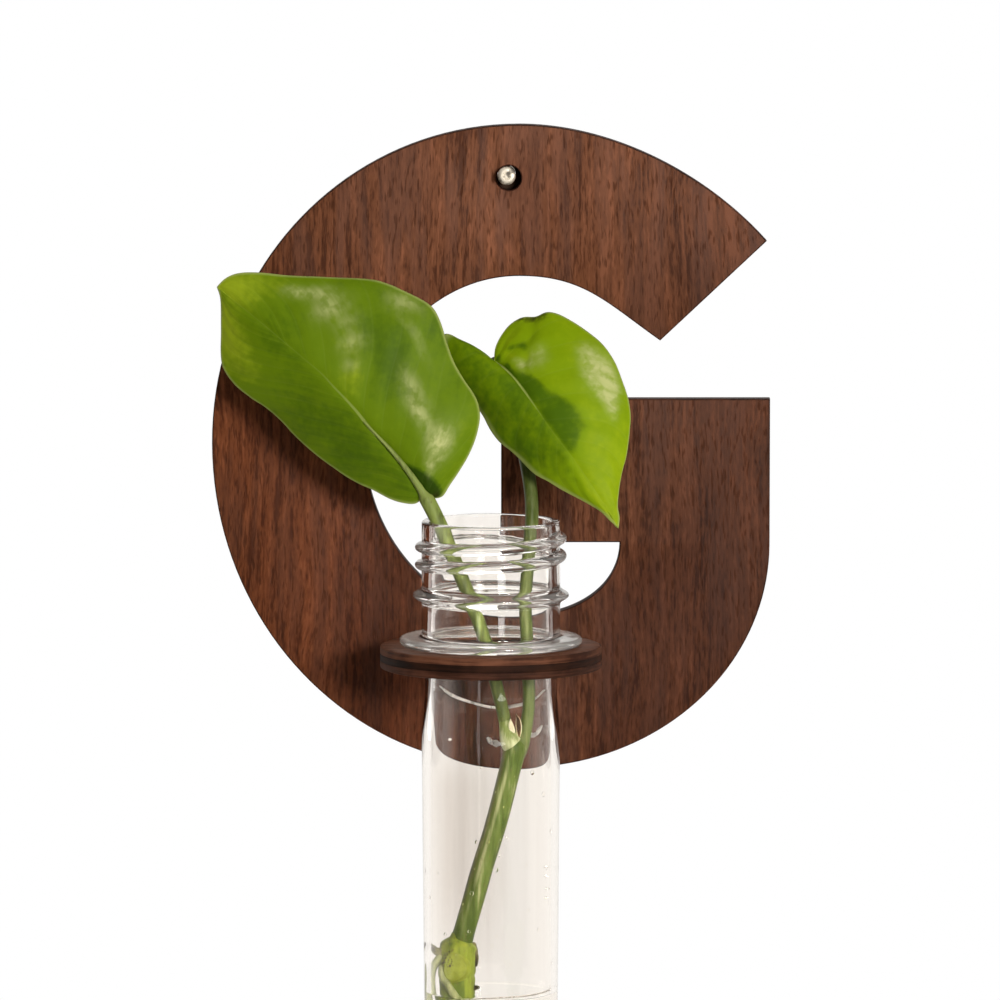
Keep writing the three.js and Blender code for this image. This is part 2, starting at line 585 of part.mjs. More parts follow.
function addTubeAndCutting() {
  const STALK_SEGMENTS = 18;
  const stemR = STEM_D / 2;
  const upperNode = (grow) => swelling(UPPER_NODE_D + 2 * grow, UPPER_NODE_LENGTH + 2 * grow, junction);
  const lowerNodeForm = (grow) => swelling(LOWER_NODE_D + 2 * grow, LOWER_NODE_LENGTH + 2 * grow, lowerNode);
  const scar = (grow) => {
    const r = SCAR_D / 2 + grow;
    return turned([[0, -stemR], [r, -stemR], [r, SCAR_LENGTH], [0, SCAR_LENGTH]], SMALL_ROUND_SEGMENTS)
      .rotateX(Math.PI / 2)
      .translate(lowerNode[0], lowerNode[1] - LOWER_NODE_D / 2, lowerNode[2]);
  };
  const foot = (grow) => twig([lowerNode, footEnd], stemR + grow, 2);

  addPiece(tubeGroup, "tube", tubeGeometry(), "clear");

  const pool = turned([...cavityProfile(WATER_GAP, -waterTopDepth), [0, -waterTopDepth]], ROUND_SEGMENTS);
  const well = twig([[footEnd[0], 0, footEnd[2] - WATER_GAP], lowerNode], stemR + WATER_GAP, 2);
  let poolSolid = solid(pool).subtract(solid(well)).subtract(solid(lowerNodeForm(WATER_GAP)));
  for (const root of Object.values(roots)) {
    poolSolid = poolSolid.subtract(solid(rootGeometry(root, WATER_GAP)));
  }
  addPiece(tubeGroup, "water", shell(poolSolid), "water");

  addPiece(tubeGroup, "upper_node", upperNode(0), "green");
  const scarredNode = solid(lowerNodeForm(0)).subtract(solid(scar(GROWTH_GAP)));
  addPiece(tubeGroup, "lower_node", shell(scarredNode), "green");
  addPiece(tubeGroup, "petiole_scar", scar(0), "pale");
  const stem = solid(twig(stemPath, stemR, STALK_SEGMENTS));
  const stemTrim = solid(upperNode(GROWTH_GAP)).add(solid(lowerNodeForm(GROWTH_GAP)));
  addPiece(tubeGroup, "stem", shell(stem.subtract(stemTrim)), "green");
  const footSolid = solid(foot(0)).subtract(solid(lowerNodeForm(GROWTH_GAP)));
  addPiece(tubeGroup, "stem_foot", shell(footSolid), "green");

  const rootTrim = solid(lowerNodeForm(GROWTH_GAP)).add(solid(foot(GROWTH_GAP)));
  for (const [name, root] of Object.entries(roots))
    addPiece(tubeGroup, name, shell(solid(rootGeometry(root, 0)).subtract(rootTrim)), "brown");

  const stalks = { petiole_left: petioleLeftPath, petiole_right: petioleRightPath };
  for (const [name, path] of Object.entries(stalks)) {
    const stalk = solid(twig(path, petioleR, STALK_SEGMENTS)).subtract(solid(upperNode(GROWTH_GAP)));
    addPiece(tubeGroup, name, shell(stalk), "green");
  }
  const sheathCentre = [junction[0], -(petioleR + SHEATH_D / 2 - SHEATH_TUCK), junction[2] + UPPER_NODE_D];
  const sheath = solid(swelling(SHEATH_D, SHEATH_LENGTH, sheathCentre));
  addPiece(tubeGroup, "dry_sheath", shell(sheath.subtract(solid(upperNode(GROWTH_GAP)))), "brown");
  const leafLeft = leafGeometry(leafLeftLines, LEAF_LEFT_LENGTH, leafLeftBase);
  addPiece(tubeGroup, "leaf_left", leafLeft, "leafDeep");
  const leafRight = leafGeometry(leafRightLines, LEAF_RIGHT_LENGTH, leafRightBase);
  addPiece(tubeGroup, "leaf_right", leafRight, "leafBright");
}

addBackboard();
addNail();
addRing();
addTubeAndCutting();

export default group;
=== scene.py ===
import math

import bmesh
import bpy
from mathutils import Matrix, Vector, noise


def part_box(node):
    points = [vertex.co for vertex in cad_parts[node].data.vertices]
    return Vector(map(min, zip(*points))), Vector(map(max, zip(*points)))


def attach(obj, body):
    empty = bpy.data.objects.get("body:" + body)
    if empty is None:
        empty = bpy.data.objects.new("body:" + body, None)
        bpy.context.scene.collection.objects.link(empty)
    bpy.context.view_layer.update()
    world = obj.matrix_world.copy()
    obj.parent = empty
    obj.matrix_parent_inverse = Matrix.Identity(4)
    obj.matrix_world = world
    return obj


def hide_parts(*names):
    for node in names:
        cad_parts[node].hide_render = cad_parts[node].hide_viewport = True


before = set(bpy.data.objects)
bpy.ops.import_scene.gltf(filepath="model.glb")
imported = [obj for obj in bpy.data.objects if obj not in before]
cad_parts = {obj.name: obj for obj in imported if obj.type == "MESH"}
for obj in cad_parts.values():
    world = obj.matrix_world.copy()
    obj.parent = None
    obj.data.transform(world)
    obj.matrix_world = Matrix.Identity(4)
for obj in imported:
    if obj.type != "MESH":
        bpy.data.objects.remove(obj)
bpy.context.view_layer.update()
scene = bpy.context.scene

# Lengths are in millimetres and are turned into metres when a mesh is made. Those in finishes, geometry
# trees, lamps and the camera are in metres.
MM = 0.001

# Plywood
SHEET = 4.0
PLY = SHEET / 3
FACE_ARRIS = 0.22  # narrow round along the cut edge of a face veneer
RING_ARRIS = 0.35
GLUE_LINE = 0.05  # fine groove where two plies meet
RING_GLUE_LINE = 0.12
CUT_SHARP = math.radians(25)  # edges of cut sheet that turn by more than this stay sharp
PIECE_SHARP = math.radians(40)  # the same for other pieces

# Letter board, measured from the nail
CROWN_X = 2.3
TOP_Z = 9.2
LEFT_X = -53.8
RIGHT_X = 48.1
BOTTOM_Z = -108.8
WAIST_Z = -49.0
SIDE_STROKE = 27.9
CROWN_STROKE = 27.6
RIGHT_STROKE = 27.4
BAR_LENGTH = 49.1
BAR_TOP_Z = -40.9
BAR_HEIGHT = 26.3
RIGHT_EDGE_LENGTH = 26.6
CUT_CORNER = (47.4, -12.0)
CUT_LENGTH = 26.6
CUT_ANGLE = math.radians(43.2)
HOLE_R = 2.25
HOLE_X = 0.42
HOLE_Z = -0.5

# Ring and its tab
RING_BORE_R = 13.3
RING_R = 20.0
RING_TOP_Z = -83.65
NECK_BLOCK_W = 18.0
TAB_W = 12.0
TAB_GAP = 0.1

# Nail
NAIL_R = 1.6
NAIL_HEAD_R = 1.66
NAIL_HEAD_T = 0.9
NAIL_FACE_Y = -6.6
NAIL_POINT_Y = 22.0
NAIL_POINT = 5.0
NAIL_SIDES = 48

# Tube, measured down from the centre of its mouth
TUBE_SIDES = 192
TUBE_LENGTH = 128.0
BORE_R = 10.9
NECK_R = 12.5
SHOULDER_R = 11.95
BODY_R = 12.5
TIP_R = 11.9
FLANGE_R = 16.5
FLANGE_T = 1.6
FLANGE_FILLET = 0.6
BEAD_PROUD = 1.6
BEAD_T = 1.8
BEAD_DEPTH = 13.5
NECK_HEIGHT = 22.6
SHOULDER_LENGTH = 8.0
FLARE_LENGTH = 9.0
FLOOR_T = 2.2
RIM_ROUND = 0.5
THREAD_PROUD = 1.2
THREAD_PITCH = 3.2
THREAD_TURNS = 1.75
THREAD_START = math.radians(22.5)
THREAD_DEPTH = 3.0
THREAD_HALF_HEIGHT = 1.0
THREAD_TAPER = 0.05  # share of a turn over which the thread rises at its ends

# Water
WATER_SIDES = 128
WATER_TOP = 86.1
MENISCUS = 0.45
MENISCUS_REACH = 2.6
WATER_WETS = 0.04  # the water's skin lies this far inside the plastic, so that light passes between them

# Cutting, measured from the centre of the tube's mouth
STEM_R = 1.95
JUNCTION = Vector((4.36, 0.0, -41.0))
LOWER_NODE = Vector((-6.1, 0.0, -79.8))
FOOT_END = Vector((-5.6, 0.0, -109.3))
LEAF_T = 0.45

tube_low, tube_high = (Vector(corner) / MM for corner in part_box("tube"))
MOUTH = Vector(((tube_low.x + tube_high.x) / 2, (tube_low.y + tube_high.y) / 2, tube_high.z))

# The photograph's viewpoint
PHOTO_SIZE = 1000
FOCAL_PIXELS = 7748
SENSOR = 36.0
CAMERA_PITCH = math.radians(5.95)
CAMERA_PLACE = Vector((-0.00120, -1.41224, 0.08735))


def photo_point(pixel, depth):
    """Point, in mm, that shows at a pixel of the picture at a given depth (y, in mm)."""
    across = (pixel[0] - PHOTO_SIZE / 2) / FOCAL_PIXELS
    up = (PHOTO_SIZE / 2 - pixel[1]) / FOCAL_PIXELS
    ray = Vector((
        across,
        math.cos(CAMERA_PITCH) + up * math.sin(CAMERA_PITCH),
        up * math.cos(CAMERA_PITCH) - math.sin(CAMERA_PITCH),
    ))
    reach = (depth * MM - CAMERA_PLACE.y) / ray.y
    return (CAMERA_PLACE + ray * reach) / MM


def from_mouth(points, base=Vector()):
    """Points measured from a base, itself measured from the tube's mouth, as places in the frame."""
    return [base + Vector(point) + MOUTH for point in points]


# Colours and node trees


def linear(code):
    """Six-figure colour code as the linear colour that a shader takes."""
    shares = [int(code[i:i + 2], 16) / 255 for i in (0, 2, 4)]
    return tuple(c / 12.92 if c <= 0.04045 else ((c + 0.055) / 1.055) ** 2.4 for c in shares) + (1.0,)


class Value:
    """One output of a node. Plain arithmetic on it adds the nodes that work it out."""

    def __init__(self, nodes, socket):
        self.nodes = nodes
        self.socket = socket

    def __add__(self, other):
        return self.nodes.math("ADD", self, other)

    def __sub__(self, other):
        return self.nodes.math("SUBTRACT", self, other)

    def __rsub__(self, other):
        return self.nodes.math("SUBTRACT", other, self)

    def __mul__(self, other):
        return self.nodes.math("MULTIPLY", self, other)

    def __truediv__(self, other):
        return self.nodes.math("DIVIDE", self, other)

    def __abs__(self):
        return self.nodes.math("ABSOLUTE", self)

    __radd__ = __add__

    def span(self, low, high, start=0.0, end=1.0):
        """Smooth step from start to end while the value runs from low to high."""
        inputs = {0: self, 1: low, 2: high, 3: start, 4: end}
        return self.nodes.add("ShaderNodeMapRange", inputs, interpolation_type="SMOOTHSTEP")[0]

    def noise(self, scale, detail=2.0, shift=(0, 0, 0), roughness=0.5):
        """Noise at this place. A larger scale along an axis makes it finer that way."""
        place = self.nodes.place(self, scale, shift=shift)
        inputs = {"Vector": place, "Scale": 1.0, "Detail": detail, "Roughness": roughness}
        return self.nodes.add("ShaderNodeTexNoise", inputs)[0]


class Outputs:
    """A node's outputs, by name or number."""

    def __init__(self, nodes, node):
        self.nodes = nodes
        self.node = node

    def __getitem__(self, key):
        return Value(self.nodes, self.node.outputs[key])


class Nodes:
    """Short words for filling a node tree. An input may be a number, a colour or another node's output."""

    def __init__(self, tree):
        self.tree = tree

    def put(self, socket, value):
        if isinstance(value, Value):
            self.tree.links.new(value.socket, socket)
        elif isinstance(value, str) and socket.type == "RGBA":
            socket.default_value = linear(value)
        else:
            socket.default_value = value

    def add(self, kind, inputs=None, **settings):
        node = self.tree.nodes.new(kind)
        for name, value in settings.items():
            setattr(node, name, value)
        for key, value in (inputs or {}).items():
            self.put(node.inputs[key], value)
        return Outputs(self, node)

    def math(self, operation, *values):
        return self.add("ShaderNodeMath", dict(enumerate(values)), operation=operation)[0]

    def mix(self, share, first, second, blend="MIX"):
        inputs = {0: share, 6: first, 7: second}
        return self.add("ShaderNodeMix", inputs, data_type="RGBA", blend_type=blend)[2]

    def place(self, vector, scale=1, turn=(0, 0, 0), shift=(0, 0, 0)):
        if isinstance(scale, int):
            scale = (scale, scale, scale)
        inputs = {"Vector": vector, "Location": shift, "Rotation": turn, "Scale": scale}
        return self.add("ShaderNodeMapping", inputs)[0]

    def axes(self, vector):
        parts = self.add("ShaderNodeSeparateXYZ", {0: vector})
        return parts["X"], parts["Y"], parts["Z"]

    def vector(self, **parts):
        return self.add("ShaderNodeCombineXYZ", parts)[0]

    def attribute(self, name):
        return self.add("ShaderNodeAttribute", attribute_name=name)["Fac"]

    def group(self, group, inputs):
        return self.add("ShaderNodeGroup", inputs, node_tree=group)

    def leave(self, **values):
        """Puts out a group's results and returns the group."""
        sockets = self.tree.nodes.new("NodeGroupOutput").inputs
        for name, value in values.items():
            self.put(sockets[name], value)
        return self.tree


class Finish(Nodes):
    """Nodes of a new material, with plain values set on its own shader."""

    def __init__(self, name, **settings):
        self.material = bpy.data.materials.new(name)
        self.material.use_nodes = True
        super().__init__(self.material.node_tree)
        self.shader = self.tree.nodes["Principled BSDF"]
        for key, value in settings.items():
            self.shader.inputs[key.replace("_", " ").title().replace("Ior", "IOR")].default_value = value
        self.coords = self.add("ShaderNodeTexCoord")["Object"]

    def dress(self, color, roughness, height, strength, distance):
        """Joins colour, roughness and relief to the shader, and returns the material."""
        bump = self.add("ShaderNodeBump", {"Height": height, "Strength": strength, "Distance": distance})[0]
        for name, value in (("Base Color", color), ("Roughness", roughness), ("Normal", bump)):
            self.put(self.shader.inputs[name], value)
        return self.material

    def blend_in(self, share, other):
        """Mixes another shader with the finish's own, and returns the material."""
        own = Value(self, self.shader.outputs[0])
        both = self.add("ShaderNodeMixShader", {0: share, 1: own, 2: other})[0]
        self.put(self.tree.nodes["Material Output"].inputs["Surface"], both)
        return self.material


SOCKET_KINDS = {str: "Color", tuple: "Vector", int: "Int", float: "Float"}
LOOK = {"Color": "Color", "Roughness": "Float", "Height": "Float"}


def new_tree(name, kind, inputs, outputs):
    """Nodes and inputs of a new node group.

    An input's default gives its kind. One without a default is of the kind that it is named after.
    """
    tree = bpy.data.node_groups.new(name, kind)
    for label, default in inputs.items():
        kind = SOCKET_KINDS.get(type(default), label)
        socket = tree.interface.new_socket(name=label, in_out="INPUT", socket_type="NodeSocket" + kind)
        if default is not None:
            socket.default_value = linear(default) if kind == "Color" else default
    for label, kind in outputs.items():
        tree.interface.new_socket(name=label, in_out="OUTPUT", socket_type="NodeSocket" + kind)
    nodes = Nodes(tree)
    return nodes, nodes.add("NodeGroupInput")


def veneer_figure_group():
    """Walnut figure with its grain along Z: soft bands, streaks, short dark pores and greyish clouds, with
    painted shade and a painted warmer tint multiplied in.
    """
    nodes, entry = new_tree("veneer_figure", "ShaderNodeTree", {
        "Vector": None,
        "Pale": "8b563b",
        "Middle": "73452c",
        "Dark": "4b2713",
        "Grey": "5f4136",
        "Pore": "341a0d",
        "Heartwood": "b0a8a4",
        "Amber": "ffe7cb",
        "Shade": 0.0,
        "Warmth": 0.0,
    }, LOOK)
    drift = entry["Vector"].noise((45, 45, 14))
    sway = nodes.vector(X=(drift - 0.5) * 0.006)
    grain = nodes.add("ShaderNodeVectorMath", {0: entry["Vector"], 1: sway})[0]
    band = grain.noise((150, 150, 16), detail=3)
    streak = grain.noise((780, 780, 70), detail=3, roughness=0.6)
    line = grain.noise((1500, 1500, 42), shift=(0.6, 0.2, 0.1))
    fibre = grain.noise((2600, 2600, 520))
    dash = grain.noise((2100, 2100, 380), detail=1, shift=(0.3, 0.1, 0.7))
    cloud = grain.noise((230, 230, 26), detail=3, shift=(0.2, 0, 0.4))
    pore = dash.span(0.55, 0.72)
    tone = band * 0.26 + streak * 0.30 + line * 0.20 + fibre * 0.24
    color = nodes.mix(tone.span(0.40, 0.51), entry["Dark"], entry["Middle"])
    color = nodes.mix(tone.span(0.50, 0.60), color, entry["Pale"])
    color = nodes.mix(cloud.span(0.44, 0.62) * 0.42, color, entry["Grey"])
    # Painted shade: the Shade input multiplies the colour towards a darker tint
    color = nodes.mix(entry["Shade"], color, entry["Heartwood"], "MULTIPLY")
    # Painted light colour: the Warmth input multiplies in a warmer tint
    color = nodes.mix(entry["Warmth"], color, entry["Amber"], "MULTIPLY")
    color = nodes.mix(pore * 0.5, color, entry["Pore"])
    rough = 0.5 + pore * 0.22 + fibre * 0.14
    return nodes.leave(Color=color, Roughness=rough, Height=fibre * 0.5 - pore)


def scorched_cut_group():
    """Laser-cut plywood edge: soot with browner places and fine lines left by the beam."""
    nodes, entry = new_tree("scorched_cut", "ShaderNodeTree", {
        "Vector": None,
        "Soot": "170b07",
        "Brown": "3b2117",
        "Bare": 0.5,
        "Beam": (900, 900, 900),
    }, LOOK)
    cloud = entry["Vector"].noise(150, detail=4)
    line = entry["Vector"].noise(entry["Beam"], detail=3)
    tone = cloud * 0.6 + line * 0.4 + (entry["Bare"] - 0.5) * 0.4
    color = nodes.mix(tone.span(0.36, 0.66), entry["Soot"], entry["Brown"])
    return nodes.leave(Color=color, Roughness=0.55 + line * 0.25, Height=tone)


def plant_skin_group():
    """Skin of a stalk: soft patches, streaks along Z, specks, and a pale ridge beside a brown left side."""
    nodes, entry = new_tree("plant_skin", "ShaderNodeTree", {
        "Vector": None,
        "Light": "a6bd62",
        "Green": "6f8f3f",
        "Deep": "4e6f26",
        "Speck": "6a5a34",
        "Ripeness": 0.5,
        "Side": 0.0,
        "Ridge": 0.0,
    }, LOOK)
    streak = entry["Vector"].noise((900, 900, 70), detail=3)
    patch = entry["Vector"].noise((320, 320, 120), detail=3)
    grit = entry["Vector"].noise((2600, 2600, 1300), detail=1)
    tone = streak * 0.6 + patch * 0.4 + (entry["Ripeness"] - 0.5) * 0.5
    color = nodes.mix(tone.span(0.34, 0.52), entry["Deep"], entry["Green"])
    color = nodes.mix(tone.span(0.50, 0.70), color, entry["Light"])
    ridge = abs(entry["Side"] + 0.3).span(0.24, 0.04) * entry["Ridge"]
    color = nodes.mix(ridge * streak.span(0.3, 0.6), color, entry["Light"])
    # The left side turns brownish
    brown_left = entry["Side"].span(-0.5, -0.85) * entry["Ridge"]
    color = nodes.mix(brown_left * 0.6, color, entry["Speck"])
    speck = grit.span(0.66, 0.74) * 0.5
    color = nodes.mix(speck, color, entry["Speck"])
    return nodes.leave(Color=color, Roughness=0.34 + patch * 0.2, Height=streak - speck * 0.5)


def leaf_blade_group():
    """Waxy leaf blade: mottled green, a pale midrib that fades to the tip, side veins and a pale margin, with
    painted shade that turns to a darker painted shadow colour where it is deepest, and painted highlights.
    """
    nodes, entry = new_tree("leaf_blade", "ShaderNodeTree", {
        "Vector": None,
        "From Midrib": 5.0,
        "From Margin": 5.0,
        "Along": 0.5,
        "Vein": 0.0,
        "Shade": 0.0,
        "Bloom": 0.0,
        "Scab": 0.0,
        "Rib End": 0.6,
        "Streaks": 0.4,
        "Deep": "3a5206",
        "Green": "526a0c",
        "Bright": "7a8c1e",
        "Rib": "a3b060",
        "Margin": "a3ae62",
        "Wax": "c3c786",
        "Brown": "2c2c0a",
        "Fold": "2c4402",
    }, LOOK)

    def along_veins(over, out):
        """Noise drawn out along the side veins."""
        return nodes.vector(X=entry["Vein"] * over, Y=entry["From Midrib"] * out).noise(1, detail=3)

    patch = entry["Vector"].noise(120, detail=3)
    cell = entry["Vector"].noise(760, detail=3)
    grit = entry["Vector"].noise(520)
    calm = entry["Streaks"] * entry["Along"].span(0.7, 0.95, 1.0, 0.2)
    tone = (patch - 0.5) * 0.5 + 0.5 + (cell - 0.5) * 0.32
    # Painted shade from the mesh darkens or lightens the green
    tone = tone + (along_veins(3.0, 0.12) - 0.5) * calm + entry["Shade"]
    color = nodes.mix(tone.span(0.05, 0.5), entry["Deep"], entry["Green"])
    color = nodes.mix(tone.span(0.5, 1.0), color, entry["Bright"])
    # Painted shadow: where the painted shade runs deepest, the green turns to a darker shadow colour
    color = nodes.mix(tone.span(0.05, -0.5), color, entry["Fold"])
    vein = abs(nodes.math("FRACT", entry["Vein"]) - 0.5).span(0.07, 0.0)
    color = nodes.mix(vein * 0.03, color, entry["Rib"])
    fade = entry["Along"].span(entry["Rib End"], 0.1)
    rib_width = 0.10 + fade * 0.34
    rib = (entry["From Midrib"] - rib_width).span(0.10, -0.10) * (0.08 + fade * 0.9)
    color = nodes.mix(rib, color, entry["Rib"])
    # Painted highlights: pale gloss patches drawn out along the veins, where the mesh asks for them
    gloss = along_veins(3.6, 0.45).span(0.25, 0.65, 0.45, 1.0)
    bloom = entry["Bloom"] * gloss * grit.span(0.36, 0.56, 0.45, 1.0)
    color = nodes.mix(bloom, color, entry["Wax"])
    color = nodes.mix(entry["From Margin"].span(0.85, 0.15) * 0.7, color, entry["Margin"])
    color = nodes.mix(entry["Scab"] * grit.span(0.36, 0.52), color, entry["Brown"])
    return nodes.leave(Color=color, Roughness=0.48 + cell * 0.16, Height=cell * 0.35 - vein * 0.12)


veneer_figure = veneer_figure_group()
scorched_cut = scorched_cut_group()
plant_skin = plant_skin_group()
leaf_blade = leaf_blade_group()


def walnut_veneer(name, turn=(0, 0, 0), shift=(0, 0, 0), slope=0.0):
    """Walnut face. Slope sets how much light and shade is painted on it: the sheet darkens slowly towards its
    foot and its right, more in its lower right corner and in a painted shadow around the tube's left side,
    and its lower left is warmed with a painted tint.
    """
    nodes = Finish(name, specular_ior_level=0.12)
    x, _, z = nodes.axes(nodes.coords)
    # Painted shade: darker towards the foot, to the right, in the lower right corner and in a painted shadow
    # around the tube's left side
    down = z.span(0.0, -0.11, 0.0, slope)
    right = x.span(0.006, 0.044) * z.span(0.035, -0.03, 0.0, 1.5 * slope)
    inner = x.span(-0.036, -0.022) * x.span(0.0, -0.006) * z.span(-0.045, -0.078)
    low_right = x.span(0.004, 0.030) * z.span(-0.062, -0.086)
    corner = nodes.math("MAXIMUM", inner, low_right) * (1.1 * slope)
    # Painted warmer tint over the lower left
    left = x.span(0.005, -0.035, 0.0, 1.6 * slope)
    figure = nodes.group(veneer_figure, {
        "Vector": nodes.place(nodes.coords, turn=turn, shift=shift),
        "Shade": down + right + corner,
        "Warmth": left * z.span(0.0, -0.05),
    })
    return nodes.dress(figure["Color"], figure["Roughness"], figure["Height"], 0.35, 0.00012)


def scorched_edge(name, soot, brown, bare, beam, shade_to_right=0.0):
    """Cut edge. Beam gives how fine its lines are along each axis; the last argument paints the edge lighter
    on its left and darker on its right, as painted light and shade.
    """
    nodes = Finish(name, specular_ior_level=0.08)
    # Painted light and shade: the edge is barer on the left and sootier on the right
    if shade_to_right:
        bare = nodes.axes(nodes.coords)[0].span(-0.022, 0.014, bare + shade_to_right, bare - shade_to_right)
    inputs = {"Vector": nodes.coords, "Soot": soot, "Brown": brown, "Bare": bare, "Beam": beam}
    cut = nodes.group(scorched_cut, inputs)
    return nodes.dress(cut["Color"], cut["Roughness"], cut["Height"], 0.4, 0.00015)


def bright_steel():
    """Bright nail with fine drawn lines and a few dull marks."""
    nodes = Finish("bright_steel", metallic=1.0)
    worn = nodes.coords.noise((700, 300, 700)).span(0.44, 0.62)
    scratch = nodes.coords.noise((2600, 500, 900))
    return nodes.dress(nodes.mix(worn, "d2c9b9", "807a70"), 0.5 + worn * 0.2, scratch, 0.3, 0.00006)


def see_through(name, clear, streak_and_shadow_tint, ior, rough, shadow, ripple=0.0, clearness=1.0, ridge_haze=0.0):
    """See-through finish with soft upright streaks and a painted shadow on the left, half way down the tube.

    Lamps shine through it, dimmed by shadow, so what is inside stays lit. Ridges that stand proud of the
    neck can be hazy where they turn away.
    """
    nodes = Finish(name, transmission_weight=clearness, ior=ior)
    x, _, z = nodes.axes(nodes.coords)
    film = nodes.coords.noise((420, 420, 14), detail=3)
    wave = nodes.coords.noise((180, 180, 26))
    # Painted shadow: a greyer tint on the left, half way down the tube, where a shadow shows through
    beside = x.span(0.003, -0.006) * x.span(-0.016, -0.009)
    below = z.span(-0.100, -0.110) * z.span(-0.152, -0.122)
    streaks_and_painted_shadow = beside * below * film.span(0.3, 0.7, 0.6, 1.0) + film.span(0.45, 0.8, 0.0, 0.25)
    color = nodes.mix(streaks_and_painted_shadow, clear, streak_and_shadow_tint)
    nodes.dress(color, film.span(0.4, 0.8, rough, rough * 4), wave, ripple, 0.001)
    if ridge_haze:
        ridge_foot = (NECK_R + 0.15) * MM
        ridge_top = (NECK_R + 0.8) * MM
        out_x, out_y, _ = nodes.axes(nodes.place(nodes.coords, shift=tuple(-MOUTH * MM)))
        radius = nodes.math("SQRT", out_x * out_x + out_y * out_y)
        turned_away = nodes.add("ShaderNodeLayerWeight", {"Blend": 0.5})["Facing"].span(0.2, 0.75)
        haze = radius.span(ridge_foot, ridge_top) * turned_away
        weight = haze.span(0.0, 1.0, clearness, clearness - ridge_haze)
        nodes.put(nodes.shader.inputs["Transmission Weight"], weight)
    through = nodes.add("ShaderNodeBsdfTransparent", {"Color": shadow})[0]
    return nodes.blend_in(nodes.add("ShaderNodeLightPath")["Is Shadow Ray"], through)


def green_stalk(name, light, green, deep, ripe_low, ripe_high, ridge=0.0):
    """Stalk skin whose ripeness runs along the piece, from its first end to its last.

    A pale ridge lies along it and fades before its last end.
    """
    nodes = Finish(name, specular_ior_level=0.14)
    along = nodes.attribute("along")
    skin = nodes.group(plant_skin, {
        "Vector": nodes.coords,
        "Light": light,
        "Green": green,
        "Deep": deep,
        "Ripeness": along.span(0.0, 1.0, ripe_low, ripe_high),
        "Side": nodes.attribute("side"),
        "Ridge": along.span(0.55, 0.85, ridge, 0.15 * ridge),
    })
    return nodes.dress(skin["Color"], skin["Roughness"], skin["Height"], 0.35, 0.0002)


def dry_skin(name, light, middle, deep):
    """Dry skin of scales and root nubs, paler at a piece's first end and along its sides."""
    nodes = Finish(name, specular_ior_level=0.25)
    rim = abs(nodes.attribute("side")).span(0.6, 0.95, 0.0, 0.8)
    skin = nodes.group(plant_skin, {
        "Vector": nodes.coords,
        "Light": light,
        "Green": middle,
        "Deep": deep,
        "Speck": "20140a",
        "Ripeness": nodes.attribute("along").span(0.0, 1.0, 1.1, 0.0) + rim,
    })
    return nodes.dress(skin["Color"], skin["Roughness"] + 0.35, skin["Height"], 0.6, 0.0003)


def pale_cut():
    """Cut face of an old petiole."""
    nodes = Finish("pale_cut", specular_ior_level=0.35)
    pith = nodes.coords.noise(700, detail=3)
    dots = nodes.coords.noise(2200, detail=1)
    color = nodes.mix(pith.span(0.35, 0.65), "767e1c", "848c28")
    color = nodes.mix(dots.span(0.6, 0.75) * 0.4, color, "70781a")
    return nodes.dress(color, 0.4 + pith * 0.25, dots, 0.4, 0.0002)


# What a leaf's mesh keeps at each point for its finish to read, painted shade and painted highlights among
# them
LEAF_FACTS = ("from_midrib", "from_margin", "along", "vein", "shade", "bloom", "scab")


def leaf_finish(name, deep, green, bright, rib_end, streaks):
    nodes = Finish(name, specular_ior_level=0.09)
    inputs = {fact.replace("_", " ").title(): nodes.attribute(fact) for fact in LEAF_FACTS}
    inputs |= {"Vector": nodes.coords, "Rib End": rib_end, "Streaks": streaks}
    inputs |= {"Deep": deep, "Green": green, "Bright": bright}
    blade = nodes.group(leaf_blade, inputs)
    return nodes.dress(blade["Color"], blade["Roughness"], blade["Height"], 0.25, 0.0003)


# Meshes


def new_piece(name, vertices, faces, *finishes):
    """Mesh object from points in mm, smooth, with its finishes in order."""
    mesh = bpy.data.meshes.new(name)
    mesh.from_pydata([Vector(point) * MM for point in vertices], [], faces)
    mesh.update()
    return add_mesh(name, mesh, *finishes)


def add_mesh(name, mesh, *finishes, sharp=PIECE_SHARP):
    mesh.shade_smooth()
    mesh.set_sharp_from_angle(angle=sharp)
    for finish in finishes:
        mesh.materials.append(finish)
    piece = bpy.data.objects.new(name, mesh)
    scene.collection.objects.link(piece)
    return piece


def store(piece, name, values):
    """Keeps one number for each point of a piece, for its material to read."""
    layer = piece.data.attributes.new(name, "FLOAT", "POINT")
    layer.data.foreach_set("value", values)


def carry(piece, body, slot, *nodes):
    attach(piece, body)
    if nodes:
        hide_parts(*nodes)


LINE_STEPS = 12


class Line:
    """Smooth line through points, read by the share of its length."""

    def __init__(self, points, steps=LINE_STEPS):
        marks = [Vector(point) for point in points]
        ends = [2 * marks[0] - marks[1], *marks, 2 * marks[-1] - marks[-2]]
        self.points = [marks[0]]
        for a, b, c, d in zip(ends, ends[1:], ends[2:], ends[3:]):
            for k in range(1, steps + 1):
                t = k / steps
                bend = (2 * a - 5 * b + 4 * c - d) * t * t + (3 * b - a - 3 * c + d) * t ** 3
                self.points.append((2 * b + (c - a) * t + bend) / 2)
        self.reach = [0.0]
        for here, there in zip(self.points, self.points[1:]):
            self.reach.append(self.reach[-1] + (there - here).length)

    def at(self, share):
        goal = max(0.0, min(1.0, share)) * self.reach[-1]
        for i in range(1, len(self.points)):
            if self.reach[i] >= goal:
                step = self.reach[i] - self.reach[i - 1]
                done = (goal - self.reach[i - 1]) / step if step else 0
                return self.points[i - 1].lerp(self.points[i], done)
        return self.points[-1].copy()

    def heading(self, share):
        return (self.at(share + 0.01) - self.at(share - 0.01)).normalized()


